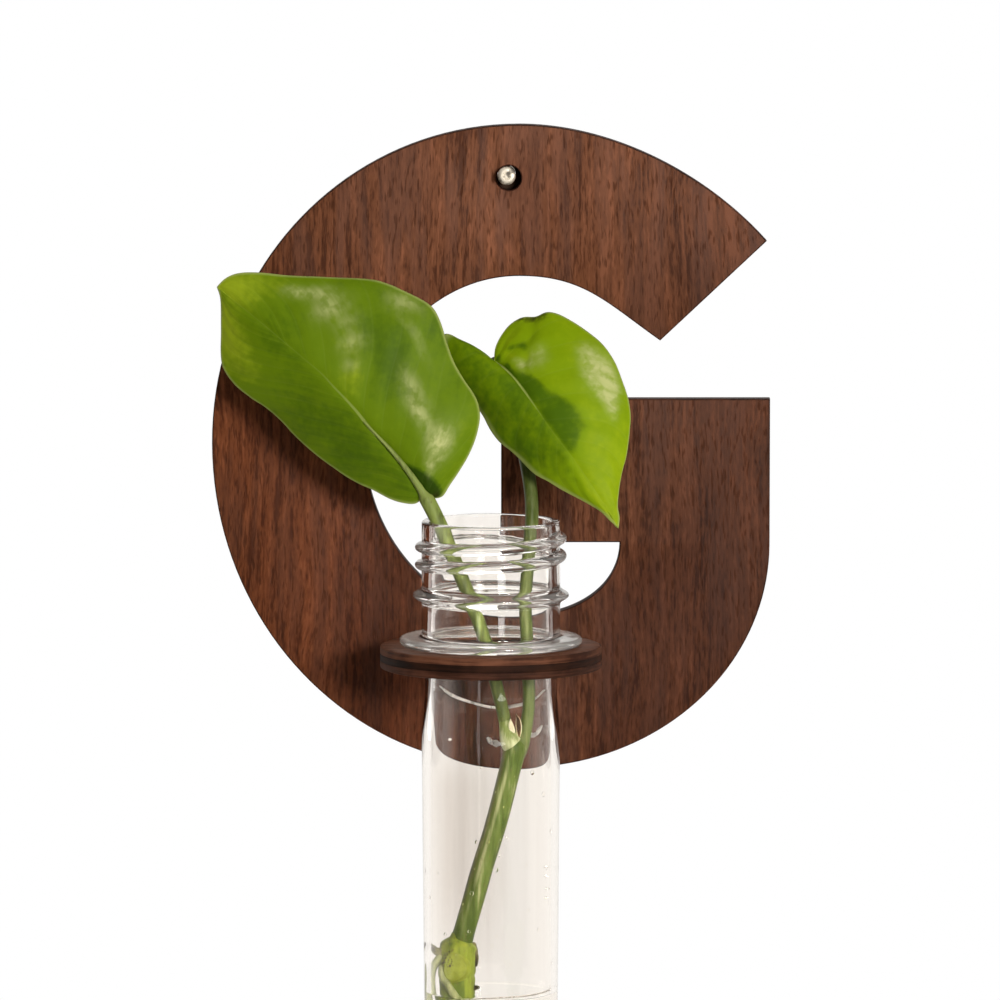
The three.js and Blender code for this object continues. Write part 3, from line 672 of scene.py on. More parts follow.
def turned(profile, columns):
    """Points and faces of a profile of (radius, height) turned about the upright axis.

    A point on the axis is a pole.
    """
    points = []
    rows = []
    for radius, height in profile:
        if radius == 0:
            rows.append([len(points)] * columns)
            points.append(Vector((0, 0, height)))
            continue
        rows.append(range(len(points), len(points) + columns))
        for j in range(columns):
            angle = 2 * math.pi * j / columns
            points.append(Vector((radius * math.cos(angle), radius * math.sin(angle), height)))
    faces = []
    for low, high in zip(rows, rows[1:]):
        for j in range(columns):
            k = (j + 1) % columns
            corners = [low[j], low[k], high[k], high[j]]
            faces.append(list(dict.fromkeys(corners)))
    return points, faces


CAP_SIZES = (0.35, 0.7, 0.92)
CAP_DEPTH = 0.6  # how far a round end stands out, as a share of the radius


def swept(line, radius, rings, sides, round_ends=True):
    """Closed skin round a line. radius(share, angle) is in mm.

    Returns points, faces, each point's share of the length and its side, from -1 at the left to 1.
    """
    caps = CAP_SIZES if round_ends else ()
    depth = CAP_DEPTH if round_ends else 0
    ends = []
    for share, way in ((0, -1), (1, 1)):
        heading = line.heading(share)
        out = heading * (way * radius(share, 0) * depth)
        rows = [(line.at(share) + out * math.sqrt(1 - size * size), heading, share, size) for size in caps]
        ends.append((line.at(share) + out, rows))
    body = [(line.at(i / rings), line.heading(i / rings), i / rings, 1) for i in range(rings + 1)]
    stations = ends[0][1] + body + ends[1][1][::-1]
    points = [ends[0][0]]
    along = [0]
    across = [0]
    side = Vector((1, 0, 0))
    for centre, heading, share, size in stations:
        side = (side - heading * side.dot(heading)).normalized()
        other = heading.cross(side)
        for j in range(sides):
            angle = 2 * math.pi * j / sides
            reach = radius(share, angle) * size
            points.append(centre + side * (math.cos(angle) * reach) + other * (math.sin(angle) * reach))
            along.append(share)
            across.append(math.cos(angle))
    points.append(ends[1][0])
    along.append(1)
    across.append(0)
    faces = []
    for j in range(sides):
        k = (j + 1) % sides
        faces.append([0, 1 + k, 1 + j])
        for i in range(len(stations) - 1):
            low = 1 + i * sides
            high = low + sides
            faces.append([low + j, low + k, high + k, high + j])
        top = 1 + (len(stations) - 1) * sides
        faces.append([top + j, top + k, len(points) - 1])
    return points, faces, along, across


def swept_together(lines, radius, rings, sides):
    """Several swept skins as one mesh."""
    whole = ([], [], [], [])
    for line in lines:
        points, faces, along, across = swept(line, radius, rings, sides)
        start = len(whole[0])
        whole[0].extend(points)
        whole[1].extend([index + start for index in face] for face in faces)
        whole[2].extend(along)
        whole[3].extend(across)
    return whole


def skin_piece(name, skin, finish):
    points, faces, along, across = skin
    piece = new_piece(name, points, faces, finish)
    store(piece, "along", along)
    store(piece, "side", across)
    return piece


def bezier(start, first, second, end, steps=40):
    curve = []
    for i in range(1, steps + 1):
        t = i / steps
        u = 1 - t
        shares = (u ** 3, 3 * u * u * t, 3 * u * t * t, t ** 3)
        marks = list(zip(shares, (start, first, second, end)))
        curve.append(tuple(sum(share * mark[k] for share, mark in marks) for k in (0, 1)))
    return curve


def quarter(start, end, upright, start_share, end_share):
    """Quarter of a round that leaves and arrives square to the axes."""
    dx = end[0] - start[0]
    dz = end[1] - start[1]
    if upright:
        return bezier(start, (start[0], start[1] + dz * start_share), (end[0] - dx * end_share, end[1]), end)
    return bezier(start, (start[0] + dx * start_share, start[1]), (end[0], end[1] - dz * end_share), end)


def round_hole(centre, radius, count=64):
    angles = [2 * math.pi * i / count for i in range(count)]
    return [(centre[0] + radius * math.cos(a), centre[1] + radius * math.sin(a)) for a in angles]


def cut_sheet(outline, holes, thickness, low_arris, high_arris):
    """Mesh of a flat piece cut from a sheet, lying in XY, with narrow round arrises."""
    form = bmesh.new()
    edges = []
    for loop in [outline, *holes]:
        corners = [form.verts.new((x * MM, y * MM, 0)) for x, y in loop]
        for here, there in zip(corners, corners[1:] + corners[:1]):
            edges.append(form.edges.new((here, there)))
    bmesh.ops.triangle_fill(form, use_beauty=True, use_dissolve=False, edges=edges)
    grown = bmesh.ops.extrude_face_region(form, geom=form.faces[:], use_keep_orig=True)
    raised = [part for part in grown["geom"] if isinstance(part, bmesh.types.BMVert)]
    bmesh.ops.translate(form, verts=raised, vec=(0, 0, thickness * MM))
    bmesh.ops.recalc_face_normals(form, faces=form.faces[:])
    for level, arris in ((0, low_arris), (thickness * MM, high_arris)):
        rims = []
        for edge in form.edges:
            at_level = all(abs(v.co.z - level) < 1e-7 for v in edge.verts)
            flats = sum(abs(face.normal.z) > 0.5 for face in edge.link_faces)
            if at_level and flats == 1:
                rims.append(edge)
        bmesh.ops.bevel(
            form, geom=rims, offset=arris * MM, offset_type="OFFSET", segments=2, profile=0.5,
            affect="EDGES", clamp_overlap=True,
        )
    mesh = bpy.data.meshes.new("cut_sheet")
    for face in form.faces:
        face.material_index = 0 if abs(face.normal.z) > 0.98 else 1
    form.to_mesh(mesh)
    form.free()
    return mesh


def stack_plies(outline, holes, foot, plies):
    """Plies cut to one outline and laid on one another from the foot.

    Each is (name, node, slot, finishes, low arris, high arris).
    """
    for i, (name, node, slot, finishes, low_arris, high_arris) in enumerate(plies):
        mesh = cut_sheet(outline, holes, PLY, low_arris, high_arris)
        mesh.transform(foot @ Matrix.Translation((0, 0, i * PLY * MM)))
        carry(add_mesh(name, mesh, *finishes, sharp=CUT_SHARP), "holder", slot, node)


# Letter board


def letter_outline():
    outer = 0.555
    counter = 0.548
    crown = (CROWN_X, TOP_Z)
    left = (LEFT_X, WAIST_Z)
    foot = (CROWN_X, BOTTOM_Z)
    right_end = (RIGHT_X, BAR_TOP_Z - RIGHT_EDGE_LENGTH)
    bar_left = RIGHT_X - BAR_LENGTH
    bar_bottom = BAR_TOP_Z - BAR_HEIGHT
    counter_top = (CROWN_X, TOP_Z - CROWN_STROKE)
    counter_left = (LEFT_X + SIDE_STROKE, WAIST_Z)
    counter_foot = (CROWN_X, BOTTOM_Z + SIDE_STROKE)
    counter_right = (RIGHT_X - RIGHT_STROKE, bar_bottom)

    def back_from(corner, reach, slope):
        """Point at a reach to the left of a corner, up a slope."""
        return corner[0] - reach * math.cos(slope), corner[1] + reach * math.sin(slope)

    cut_inner = back_from(CUT_CORNER, CUT_LENGTH, -CUT_ANGLE)
    inner_reach = (cut_inner[0] - counter_top[0]) * 0.46
    inner_handle = back_from(cut_inner, inner_reach, math.radians(35))
    outer_reach = (CUT_CORNER[0] - crown[0]) * 0.37
    outer_handle = back_from(CUT_CORNER, outer_reach, math.radians(48))
    outline = quarter(crown, left, False, outer, outer)
    outline += quarter(left, foot, True, outer, outer)
    outline += quarter(foot, right_end, False, outer, outer)
    outline += [(RIGHT_X, BAR_TOP_Z), (bar_left, BAR_TOP_Z), (bar_left, bar_bottom), counter_right]
    outline += quarter(counter_right, counter_foot, True, 0.67, 0.5)
    outline += quarter(counter_foot, counter_left, False, counter, counter)
    outline += quarter(counter_left, counter_top, True, counter, counter)
    outline += bezier(counter_top, (counter_top[0] + inner_reach, counter_top[1]), inner_handle, cut_inner)
    outline += [CUT_CORNER]
    outline += bezier(CUT_CORNER, outer_handle, (crown[0] + outer_reach, crown[1]), crown)
    return outline


def make_board():
    half = TAB_W / 2 + TAB_GAP
    slot_top = RING_TOP_Z + TAB_GAP
    slot_foot = RING_TOP_Z - SHEET - TAB_GAP
    slot = [
        (MOUTH.x - half, slot_top),
        (MOUTH.x + half, slot_top),
        (MOUTH.x + half, slot_foot),
        (MOUTH.x - half, slot_foot),
    ]
    beam = (700, 2400, 700)
    edge = scorched_edge("board_edge", "2a160e", "4f2d1f", 0.5, beam)
    core = scorched_edge("board_core", "120805", "2a1710", 0.4, beam)
    front = walnut_veneer("front_veneer", slope=0.5)
    back = walnut_veneer("back_veneer", shift=(0.4, 0.0, 0.3))
    upright = Matrix.Rotation(math.pi / 2, 4, "X")
    stack_plies(letter_outline(), [round_hole((HOLE_X, HOLE_Z), HOLE_R), slot], upright, [
        ("board_back", "backboard_back_ply", "walnut_veneer", (back, edge), FACE_ARRIS, GLUE_LINE),
        ("board_core", "backboard_core_ply", "plywood_core", (core, core), GLUE_LINE, GLUE_LINE),
        ("board_front", "backboard_front_ply", "walnut_veneer", (front, edge), GLUE_LINE, FACE_ARRIS),
    ])


# Holder ring


def ring_outline():
    """Seen from above, round the tube's axis: a round plate with a block and a tab at the board."""
    half = NECK_BLOCK_W / 2
    meet = math.asin(half / RING_R)
    first = math.pi / 2 + meet
    last = 2.5 * math.pi - meet
    count = 150
    outline = [
        (half, RING_R),
        (TAB_W / 2, RING_R),
        (TAB_W / 2, RING_R + SHEET),
        (-TAB_W / 2, RING_R + SHEET),
        (-TAB_W / 2, RING_R),
        (-half, RING_R),
    ]
    for i in range(count + 1):
        angle = first + (last - first) * i / count
        outline.append((RING_R * math.cos(angle), RING_R * math.sin(angle)))
    return outline


def make_ring():
    beam = (130, 130, 2600)
    # How much the ring's edges are painted lighter on the left and darker on the right, as painted light and
    # shade
    shade_to_right = 0.16
    edge = scorched_edge("ring_edge", "341c12", "744a36", 0.52, beam, shade_to_right)
    low_edge = scorched_edge("ring_low_edge", "2c180f", "5a382a", 0.5, beam, shade_to_right)
    core = scorched_edge("ring_core", "1c0e08", "3a2115", 0.45, beam)
    face = walnut_veneer("ring_veneer", turn=(0, math.pi / 2, 0), shift=(0.1, 0.2, 0.0))
    foot = Matrix.Translation(Vector((MOUTH.x, MOUTH.y, RING_TOP_Z - SHEET)) * MM)
    stack_plies(ring_outline(), [round_hole((0, 0), RING_BORE_R, 128)], foot, [
        ("ring_bottom", "ring_bottom_ply", "walnut_veneer", (face, low_edge), RING_ARRIS, GLUE_LINE),
        ("ring_core", "ring_core_ply", "plywood_core", (core, core), RING_GLUE_LINE, RING_GLUE_LINE),
        ("ring_top", "ring_top_ply", "walnut_veneer", (face, edge), GLUE_LINE, RING_ARRIS),
    ])


# Nail


def make_nail():
    """Round nail with a rounded head and a shallow groove round the middle of its face."""
    face = -NAIL_FACE_Y
    neck = face - NAIL_HEAD_T
    groove = face - 0.1
    profile = [
        (0, -NAIL_POINT_Y),
        (NAIL_R * 0.5, -NAIL_POINT_Y + NAIL_POINT * 0.5),
        (NAIL_R, -NAIL_POINT_Y + NAIL_POINT),
        (NAIL_R, neck - 0.15),
        (NAIL_HEAD_R, neck),
        (NAIL_HEAD_R, face - 0.35),
        (NAIL_HEAD_R - 0.12, face - 0.18),
        (NAIL_HEAD_R - 0.4, face - 0.06),
        (1.0, face - 0.01),
        (0.72, face - 0.02),
        (0.66, groove),
        (0.5, groove),
        (0.44, face - 0.02),
        (0, face),
    ]
    points, faces = turned(profile, NAIL_SIDES)
    laid = Matrix.Rotation(math.pi / 2, 3, "X")
    nail = new_piece("nail", [laid @ point for point in points], faces, bright_steel())
    carry(nail, "nail", "bright_steel", "wall_nail")


# Geometry trees


def grow(name, vertices, faces, tree, sizes, attributes=None):
    """Runs a geometry tree on a base mesh (points in mm) and returns the plain mesh that it makes."""
    base = bpy.data.meshes.new(name)
    base.from_pydata([point * MM for point in vertices], [], faces)
    base.update()
    maker = bpy.data.objects.new(name, base)
    scene.collection.objects.link(maker)
    for label, values in (attributes or {}).items():
        store(maker, label, values)
    modifier = maker.modifiers.new(tree.name, "NODES")
    modifier.node_group = tree
    for item in tree.interface.items_tree:
        if item.item_type == "SOCKET" and item.in_out == "INPUT" and item.name in sizes:
            modifier[item.identifier] = sizes[item.name]
    graph = bpy.context.evaluated_depsgraph_get()
    mesh = bpy.data.meshes.new_from_object(maker.evaluated_get(graph))
    maker.modifiers.remove(modifier)
    bpy.data.objects.remove(maker)
    return mesh


def finish_tree(nodes, geometry, material):
    """Makes one smooth, dressed mesh of what a tree has grown, and returns the tree."""
    for kind in ("GeometryNodeRealizeInstances", "GeometryNodeSetShadeSmooth"):
        geometry = nodes.add(kind, {0: geometry})[0]
    dressed = nodes.add("GeometryNodeSetMaterial", {0: geometry, "Material": material})[0]
    return nodes.leave(Geometry=dressed)


def screw_thread_tree():
    """Raises a screw thread on the neck: points marked as neck move out where the helix passes them."""
    nodes, entry = new_tree("screw_thread", "GeometryNodeTree", {
        "Geometry": None,
        "Pitch": 0.0032,
        "Turns": 1.75,
        "Proud": 0.0012,
        "Half Height": 0.00115,
        "Start Angle": 0.0,
        "Start Depth": 0.003,
        "Taper": 0.05,
        "Material": None,
    }, {"Geometry": "Geometry"})
    x, y, z = nodes.axes(nodes.add("GeometryNodeInputPosition")[0])
    angle = nodes.math("ARCTAN2", y, x)
    turn = nodes.math("FRACT", (entry["Start Angle"] - angle) / (2 * math.pi))
    run_out = entry["Turns"] - entry["Taper"]
    rises = []
    for lap in (0, 1):
        wound = turn + lap
        depth = entry["Start Depth"] + entry["Pitch"] * wound
        off = (z + depth) / entry["Half Height"]
        bulge = nodes.math("POWER", nodes.math("MAXIMUM", 1.0 - off * off, 0.0), 0.6)
        starting = wound.span(0.0, entry["Taper"])
        ending = wound.span(run_out, entry["Turns"], 1.0, 0.0)
        rises.append(bulge * (starting * ending))
    neck = nodes.add("GeometryNodeInputNamedAttribute", {"Name": "neck"}, data_type="FLOAT")[0]
    rise = nodes.math("MAXIMUM", *rises) * (entry["Proud"] * neck)
    outwards = nodes.add("ShaderNodeVectorMath", {0: nodes.vector(X=x, Y=y)}, operation="NORMALIZE")[0]
    step = nodes.add("ShaderNodeVectorMath", {0: outwards, "Scale": rise}, operation="SCALE")[0]
    moved = nodes.add("GeometryNodeSetPosition", {"Geometry": entry["Geometry"], "Offset": step})[0]
    return finish_tree(nodes, moved, entry["Material"])


def beads_tree():
    """Scatters small flattened beads over a surface: drops on a wall, or pores on a stalk."""
    nodes, entry = new_tree("scattered_beads", "GeometryNodeTree", {
        "Geometry": None,
        "Spacing": 0.002,
        "Density": 20000.0,
        "Smallest": 0.0001,
        "Largest": 0.0003,
        "Flatness": 0.5,
        "Length": 1.0,
        "Seed": 1,
        "Material": None,
    }, {"Geometry": "Geometry"})
    spread = nodes.add("GeometryNodeDistributePointsOnFaces", {
        "Mesh": entry["Geometry"],
        "Distance Min": entry["Spacing"],
        "Density Max": entry["Density"],
        "Seed": entry["Seed"],
    }, distribute_method="POISSON")
    chance = nodes.add("FunctionNodeRandomValue", {"Seed": entry["Seed"]}, data_type="FLOAT")[1]
    size = nodes.math("POWER", chance, 2.0) * (entry["Largest"] - entry["Smallest"]) + entry["Smallest"]
    bead = nodes.add("GeometryNodeMeshIcoSphere", {"Radius": 1.0, "Subdivisions": 3})[0]
    beads = nodes.add("GeometryNodeInstanceOnPoints", {
        "Points": spread["Points"],
        "Instance": bead,
        "Rotation": spread["Rotation"],
        "Scale": nodes.vector(X=size, Y=size * entry["Length"], Z=size * entry["Flatness"]),
    })[0]
    return finish_tree(nodes, beads, entry["Material"])


bead_scatter = beads_tree()


def scatter(name, ground, points, faces, finish, body, slot, **sizes):
    """Beads scattered over a ground, as a piece that rides a body. Sizes go to the tree's inputs."""
    mesh = grow(ground, points, faces, bead_scatter, {**sizes, "Material": finish})
    carry(add_mesh(name, mesh, sharp=math.pi), body, slot)


# Tube, water and drops


def ease(share):
    share = max(0.0, min(1.0, share))
    return share * share * (3 - 2 * share)


def hump(value, centre, width):
    return math.exp(-(((value - centre) / width) ** 2))


def arc(centre, radius, first, last, steps):
    """Points of (radius, height) along an arc, angles in degrees from level."""
    angles = [math.radians(first + (last - first) * i / steps) for i in range(steps + 1)]
    return [(centre[0] + radius * math.cos(a), centre[1] + radius * math.sin(a)) for a in angles]


def steps_between(start, end, count):
    """Points after start up to end, evenly spaced."""
    return [tuple(a + (b - a) * i / count for a, b in zip(start, end)) for i in range(1, count + 1)]


def tube_profile():
    """Outside from the bottom up, over the rim, then down the bore.

    Returns the points and the rows where the thread may rise.
    """
    under = -NECK_HEIGHT
    top = under + FLANGE_T
    flare_foot = under - SHOULDER_LENGTH - FLARE_LENGTH
    lip = FLANGE_T / 2
    fillet = FLANGE_FILLET
    flare_steps = 14
    bead_steps = 24
    profile = [(0, -TUBE_LENGTH)]
    profile += arc((0, -TUBE_LENGTH + TIP_R), TIP_R, -90, 0, 28)[1:]
    profile += steps_between(profile[-1], (BODY_R, flare_foot), 24)
    for i in range(1, flare_steps + 1):
        share = i / flare_steps
        radius = BODY_R + (SHOULDER_R - BODY_R) * ease(share)
        profile.append((radius, flare_foot + FLARE_LENGTH * share))
    profile += steps_between(profile[-1], (SHOULDER_R, under - fillet), 6)
    profile += arc((SHOULDER_R + fillet, under - fillet), fillet, 180, 90, 5)[1:]
    profile += steps_between(profile[-1], (FLANGE_R - lip, under), 6)
    profile += arc((FLANGE_R - lip, under + lip), lip, -90, 90, 12)[1:]
    profile += steps_between(profile[-1], (NECK_R + fillet, top), 6)
    profile += arc((NECK_R + fillet, top + fillet), fillet, 270, 180, 5)[1:]
    bead_foot = -BEAD_DEPTH - BEAD_T
    profile += steps_between(profile[-1], (NECK_R, bead_foot), 5)
    for i in range(1, bead_steps + 1):
        share = i / bead_steps
        off = abs(2 * share - 1)
        rise = math.exp(-((off / 0.5) ** 2.4))
        profile.append((NECK_R + BEAD_PROUD * rise, bead_foot + 2 * BEAD_T * share))
    thread_from = len(profile)
    profile += steps_between(profile[-1], (NECK_R, -RIM_ROUND), 78)
    thread_to = len(profile)
    profile += arc((NECK_R - RIM_ROUND, -RIM_ROUND), RIM_ROUND, 0, 90, 5)[1:]
    profile += arc((BORE_R + RIM_ROUND, -RIM_ROUND), RIM_ROUND, 90, 180, 5)
    floor = -TUBE_LENGTH + FLOOR_T
    profile += steps_between(profile[-1], (BORE_R, floor + BORE_R), 40)
    profile += arc((0, floor + BORE_R), BORE_R, -90, 0, 26)[-2:0:-1]
    profile.append((0, floor))
    return profile, range(thread_from, thread_to)


CLEAR = (0.997, 0.988, 0.972, 1)
PLASTIC_IOR = 1.5
FILM_IOR = 1.33
WATER_IOR = 1.1


def make_tube():
    profile, threaded = tube_profile()
    points, faces = turned(profile, TUBE_SIDES)
    neck = []
    for row, (radius, _) in enumerate(profile):
        neck += [1.0 if row in threaded else 0.0] * (1 if radius == 0 else TUBE_SIDES)
    # Tint of the streaks and of the painted shadow in the plastic
    streak_and_shadow_tint = (0.87, 0.84, 0.81, 1)
    plastic = see_through(
        "clear_plastic", CLEAR, streak_and_shadow_tint, PLASTIC_IOR, 0.012, (0.86, 0.845, 0.82, 1),
        ripple=0.02, ridge_haze=0.28,
    )
    frosted = see_through(
        "frosted_flange", CLEAR, streak_and_shadow_tint, PLASTIC_IOR, 0.06, (0.74, 0.72, 0.69, 1), clearness=0.78,
    )
    mesh = grow("tube_blank", points, faces, screw_thread_tree(), {
        "Pitch": THREAD_PITCH * MM,
        "Turns": THREAD_TURNS,
        "Proud": THREAD_PROUD * MM,
        "Half Height": THREAD_HALF_HEIGHT * MM,
        "Start Angle": THREAD_START,
        "Start Depth": THREAD_DEPTH * MM,
        "Taper": THREAD_TAPER,
        "Material": plastic,
    }, {"neck": neck})
    mesh.transform(Matrix.Translation(MOUTH * MM))
    tube = add_mesh("clear_tube", mesh, frosted, sharp=math.pi)
    slack = 0.2
    for face in mesh.polygons:
        spot = face.center / MM - MOUTH
        at_flange = -slack < spot.z + NECK_HEIGHT < FLANGE_T + slack
        if at_flange and math.hypot(spot.x, spot.y) > NECK_R + FLANGE_FILLET:
            face.material_index = 1
    carry(tube, "filled_tube", "clear_plastic", "tube")


def make_water():
    """Water with a small meniscus, drops on the wall above it, and wet lines."""
    pond = (0.985, 0.985, 0.97, 1)
    water = see_through("still_water", CLEAR, pond, WATER_IOR, 0.002, (0.96, 0.97, 0.95, 1), ripple=0.01)
    wet_r = BORE_R + WATER_WETS
    floor = -TUBE_LENGTH + FLOOR_T - WATER_WETS
    meniscus_steps = 12
    pool = [(0, floor)]
    pool += arc((0, floor + wet_r), wet_r, -90, 0, 26)[1:]
    pool += steps_between(pool[-1], (wet_r, -WATER_TOP + MENISCUS), 12)
    for i in range(1, meniscus_steps + 1):
        share = i / meniscus_steps
        pool.append((wet_r - MENISCUS_REACH * share, -WATER_TOP + MENISCUS * (1 - share) ** 3))
    pool += steps_between(pool[-1], (2.0, -WATER_TOP), 8)
    pool.append((0, -WATER_TOP))
    points, faces = turned(pool, WATER_SIDES)
    pool_piece = new_piece("tube_water", from_mouth(points), faces, water)
    carry(pool_piece, "filled_tube", "water", "water")

    rows = 30
    columns = 96
    drops_from = 4
    drops_height = 38
    wall = [(BORE_R, -WATER_TOP + drops_from + drops_height * i / rows) for i in range(rows + 1)]
    points, faces = turned(wall, columns)
    facing_in = [[a, d, c, b] for a, b, c, d in faces]
    scatter(
        "wall_drops", "wet_wall", from_mouth(points), facing_in, water, "filled_tube", "water",
        Spacing=0.0042, Density=22000.0, Smallest=0.00010, Largest=0.00042, Flatness=0.55, Length=1.2, Seed=4,
    )
    make_trails()


# Wet lines and larger drops on the tube's wall, as seen in the photograph
# Their cloudy white is partly wet film and partly painted reflection and painted highlight
TRAILS = [
    [(438, 686), (450, 695), (470, 704), (494, 711), (515, 709), (532, 703), (546, 690)],
    [(487, 741), (492, 744), (501, 745)],
    [(530, 738), (538, 737), (545, 729)],
]
WATERLINE = [(462, 999), (490, 998), (515, 996.5), (533, 994), (545, 990), (552, 985)]
LARGE_DROPS = [
    (452, 740), (481, 768), (543, 867), (543, 876), (544, 889), (543, 898), (506, 838), (499, 856),
]


def wall_point(pixel, radius, way):
    """Point at a radius from the tube's axis that shows at a pixel. Way -1 is the front, 1 the back."""
    depth = MOUTH.y + way * radius
    for _ in range(4):
        spot = photo_point(pixel, depth)
        off = min(radius, abs(spot.x - MOUTH.x))
        depth = MOUTH.y + way * math.sqrt(radius * radius - off * off)
    return photo_point(pixel, depth)


def make_trails():
    # Cloudy white of the wet lines and large drops, partly a painted reflection and painted highlight
    cloudy_painted_glint = (0.86, 0.84, 0.81, 1)
    # The water's edge is a dark line of painted shade along the meniscus
    edge = (0.50, 0.46, 0.41, 1)
    shadow = (0.9, 0.89, 0.87, 1)
    film = see_through("wet_film", cloudy_painted_glint, cloudy_painted_glint, FILM_IOR, 0.2, shadow, clearness=0.45)
    shore = see_through("water_edge", edge, edge, FILM_IOR, 0.2, shadow, clearness=0.5)

    def trail_radius(share, angle):
        return 0.12 + 0.26 * math.sin(math.pi * share) ** 0.5 * (1 + 0.3 * math.sin(11 * share))

    def drop_radius(share, angle):
        return 0.22 + 0.1 * math.sin(math.pi * share)

    def edge_radius(share, angle):
        return 0.05 + 0.09 * math.sin(math.pi * share) ** 0.5

    trails = [Line([wall_point(pixel, BORE_R - 0.42, 1) for pixel in trail]) for trail in TRAILS]
    drops = []
    for pixel in LARGE_DROPS:
        spot = wall_point(pixel, BORE_R - 0.25, -1)
        drops.append(Line([spot, spot + Vector((0, 0, 0.12)), spot + Vector((0, 0, 0.24))], 4))
    waterline = Line([wall_point(pixel, BORE_R - 0.1, -1) for pixel in WATERLINE])
    for name, lines, radius, rings, sides, finish in (
        ("wet_trails", trails, trail_radius, 60, 10, film),
        ("large_drops", drops, drop_radius, 4, 14, film),
        ("water_edge", [waterline], edge_radius, 60, 10, shore),
    ):
        points, faces, _, _ = swept_together(lines, radius, rings, sides)
        carry(new_piece(name, points, faces, finish), "filled_tube", "water")


# Cutting


def stalk(name, node, slot, line, radius, rings, sides, finish, round_ends=True):
    skin = swept(line, radius, rings, sides, round_ends)
    carry(skin_piece(name, skin, finish), "cutting", slot, node)


def make_stem():
    """One shoot from the upper node through the lower node to the cut foot under water, and its pores."""
    sway = (0.83, 0.63, 0.41, 0.2)
    path = [JUNCTION]
    for i, share in enumerate(sway):
        down = (i + 1) / (len(sway) + 1)
        path.append(Vector((
            LOWER_NODE.x + (JUNCTION.x - LOWER_NODE.x) * share,
            0,
            JUNCTION.z + (LOWER_NODE.z - JUNCTION.z) * down,
        )))
    stem_finish = green_stalk("stem_skin", "adad82", "5f6e30", "42521a", 0.50, 0.36, ridge=0.75)
    node_finish = green_stalk("node_skin", "98a03c", "7c882e", "546420", 0.6, 0.30)
    foot_finish = green_stalk("foot_skin", "8e9844", "5c7414", "42580c", 0.4, 0.5)
    pore_finish = green_stalk("pore_skin", "c9cc92", "a8ad6c", "6e6c3c", 0.4, 0.6)

    def stem_radius(share, angle):
        ribs = 0.05 * math.cos(3 * angle + 4 * share)
        knots = 0.2 * hump(share, 0.0, 0.05) + 0.35 * hump(share, 1.0, 0.08)
        lumps = 0.06 * math.sin(17 * share + 2 * math.cos(angle))
        return STEM_R * (1 + ribs * 0.5 + lumps * 0.4) + knots

    def node_radius(share, angle):
        waist = 1 - 0.12 * ease((share - 0.45) / 0.2)
        swell = ease(share / 0.13) * waist * (1 - ease((share - 0.85) / 0.15))
        ring_line = -0.22 * hump(share, 0.5, 0.03) - 0.15 * hump(share, 0.8, 0.03)
        lumps = 0.12 * math.sin(2 * angle + 0.6 + 2 * share) * swell
        return 1.7 + 1.6 * swell + ring_line + lumps

    def foot_radius(share, angle):
        girth = STEM_R * (1.02 - 0.08 * share)
        return girth * (1 + 0.03 * math.cos(4 * angle + 6 * share)) + 0.3 * hump(share, 0, 0.1)

    stem_line = Line(from_mouth([*path, LOWER_NODE]))
    node_line = Line(from_mouth([(0.5, 0, 4.2), (0, 0, 0), (0, 0, -5), (0.2, 0, -10.5)], LOWER_NODE))
    foot_middle = (LOWER_NODE + FOOT_END) / 2 + Vector((0.25, 0, 0))
    foot_line = Line(from_mouth([LOWER_NODE, foot_middle, FOOT_END]))
    stalk("stem_piece", "stem", "green_stalk", stem_line, stem_radius, 60, 28, stem_finish)
    stalk("lower_node_piece", "lower_node", "green_stalk", node_line, node_radius, 56, 36, node_finish)
    stalk("stem_foot_piece", "stem_foot", "green_stalk", foot_line, foot_radius, 40, 28, foot_finish, False)
    points, faces, _, _ = swept(stem_line, stem_radius, 60, 28)
    scatter(
        "stem_pores", "stem_skin", points, faces, pore_finish, "cutting", "green_stalk",
        Spacing=0.0022, Density=60000.0, Smallest=0.00005, Largest=0.00017, Flatness=0.45, Length=1.6, Seed=9,
    )


def make_upper_node():
    """Pale collar at the foot of the left petiole."""
    finish = green_stalk("collar_skin", "c2c49c", "6e7a3e", "4c5822", 0.34, 0.95)

    def collar_radius(share, angle):
        return 0.8 + 1.0 * ease(share) + 0.1 * math.cos(2 * angle) * (1 - share)

    path = [(-2.3, 0.0, 5.4), (-1.7, -0.4, 3.4), (-1.0, -0.65, 1.1), (-0.5, -0.6, 0.3)]
    line = Line(from_mouth(path, JUNCTION))
    stalk("upper_node_piece", "upper_node", "green_stalk", line, collar_radius, 30, 32, finish, False)


def make_sheath():
    """Two dry scales between the petioles, a cream one and a dark one."""
    brown = dry_skin("dry_brown", "d2ccac", "7a5c36", "3a2614")

    def scale_radius(share, angle):
        thin = 0.75 + 0.25 * math.cos(2 * angle)
        return (0.12 + 0.45 * math.sin(math.pi * min(1.0, share + 0.08)) ** 0.8) * thin

    paths = [
        [(4.0, -1.3, -39.4), (3.75, -1.5, -38.2), (3.6, -1.4, -37.2), (3.55, -1.2, -36.4)],
        [(5.1, -1.0, -39.4), (5.05, -1.2, -37.8), (4.9, -1.1, -36.4), (4.5, -0.9, -35.5)],
    ]
    lines = [Line(from_mouth(path)) for path in paths]
    points, faces, along, across = swept_together(lines, scale_radius, 18, 14)
    first = len(along) // 2
    dryness = [0.25 * share for share in along[:first]] + [0.45 + 0.55 * share for share in along[first:]]
    piece = skin_piece("dry_sheath_piece", (points, faces, dryness, across), brown)
    carry(piece, "cutting", "dry_brown", "dry_sheath")


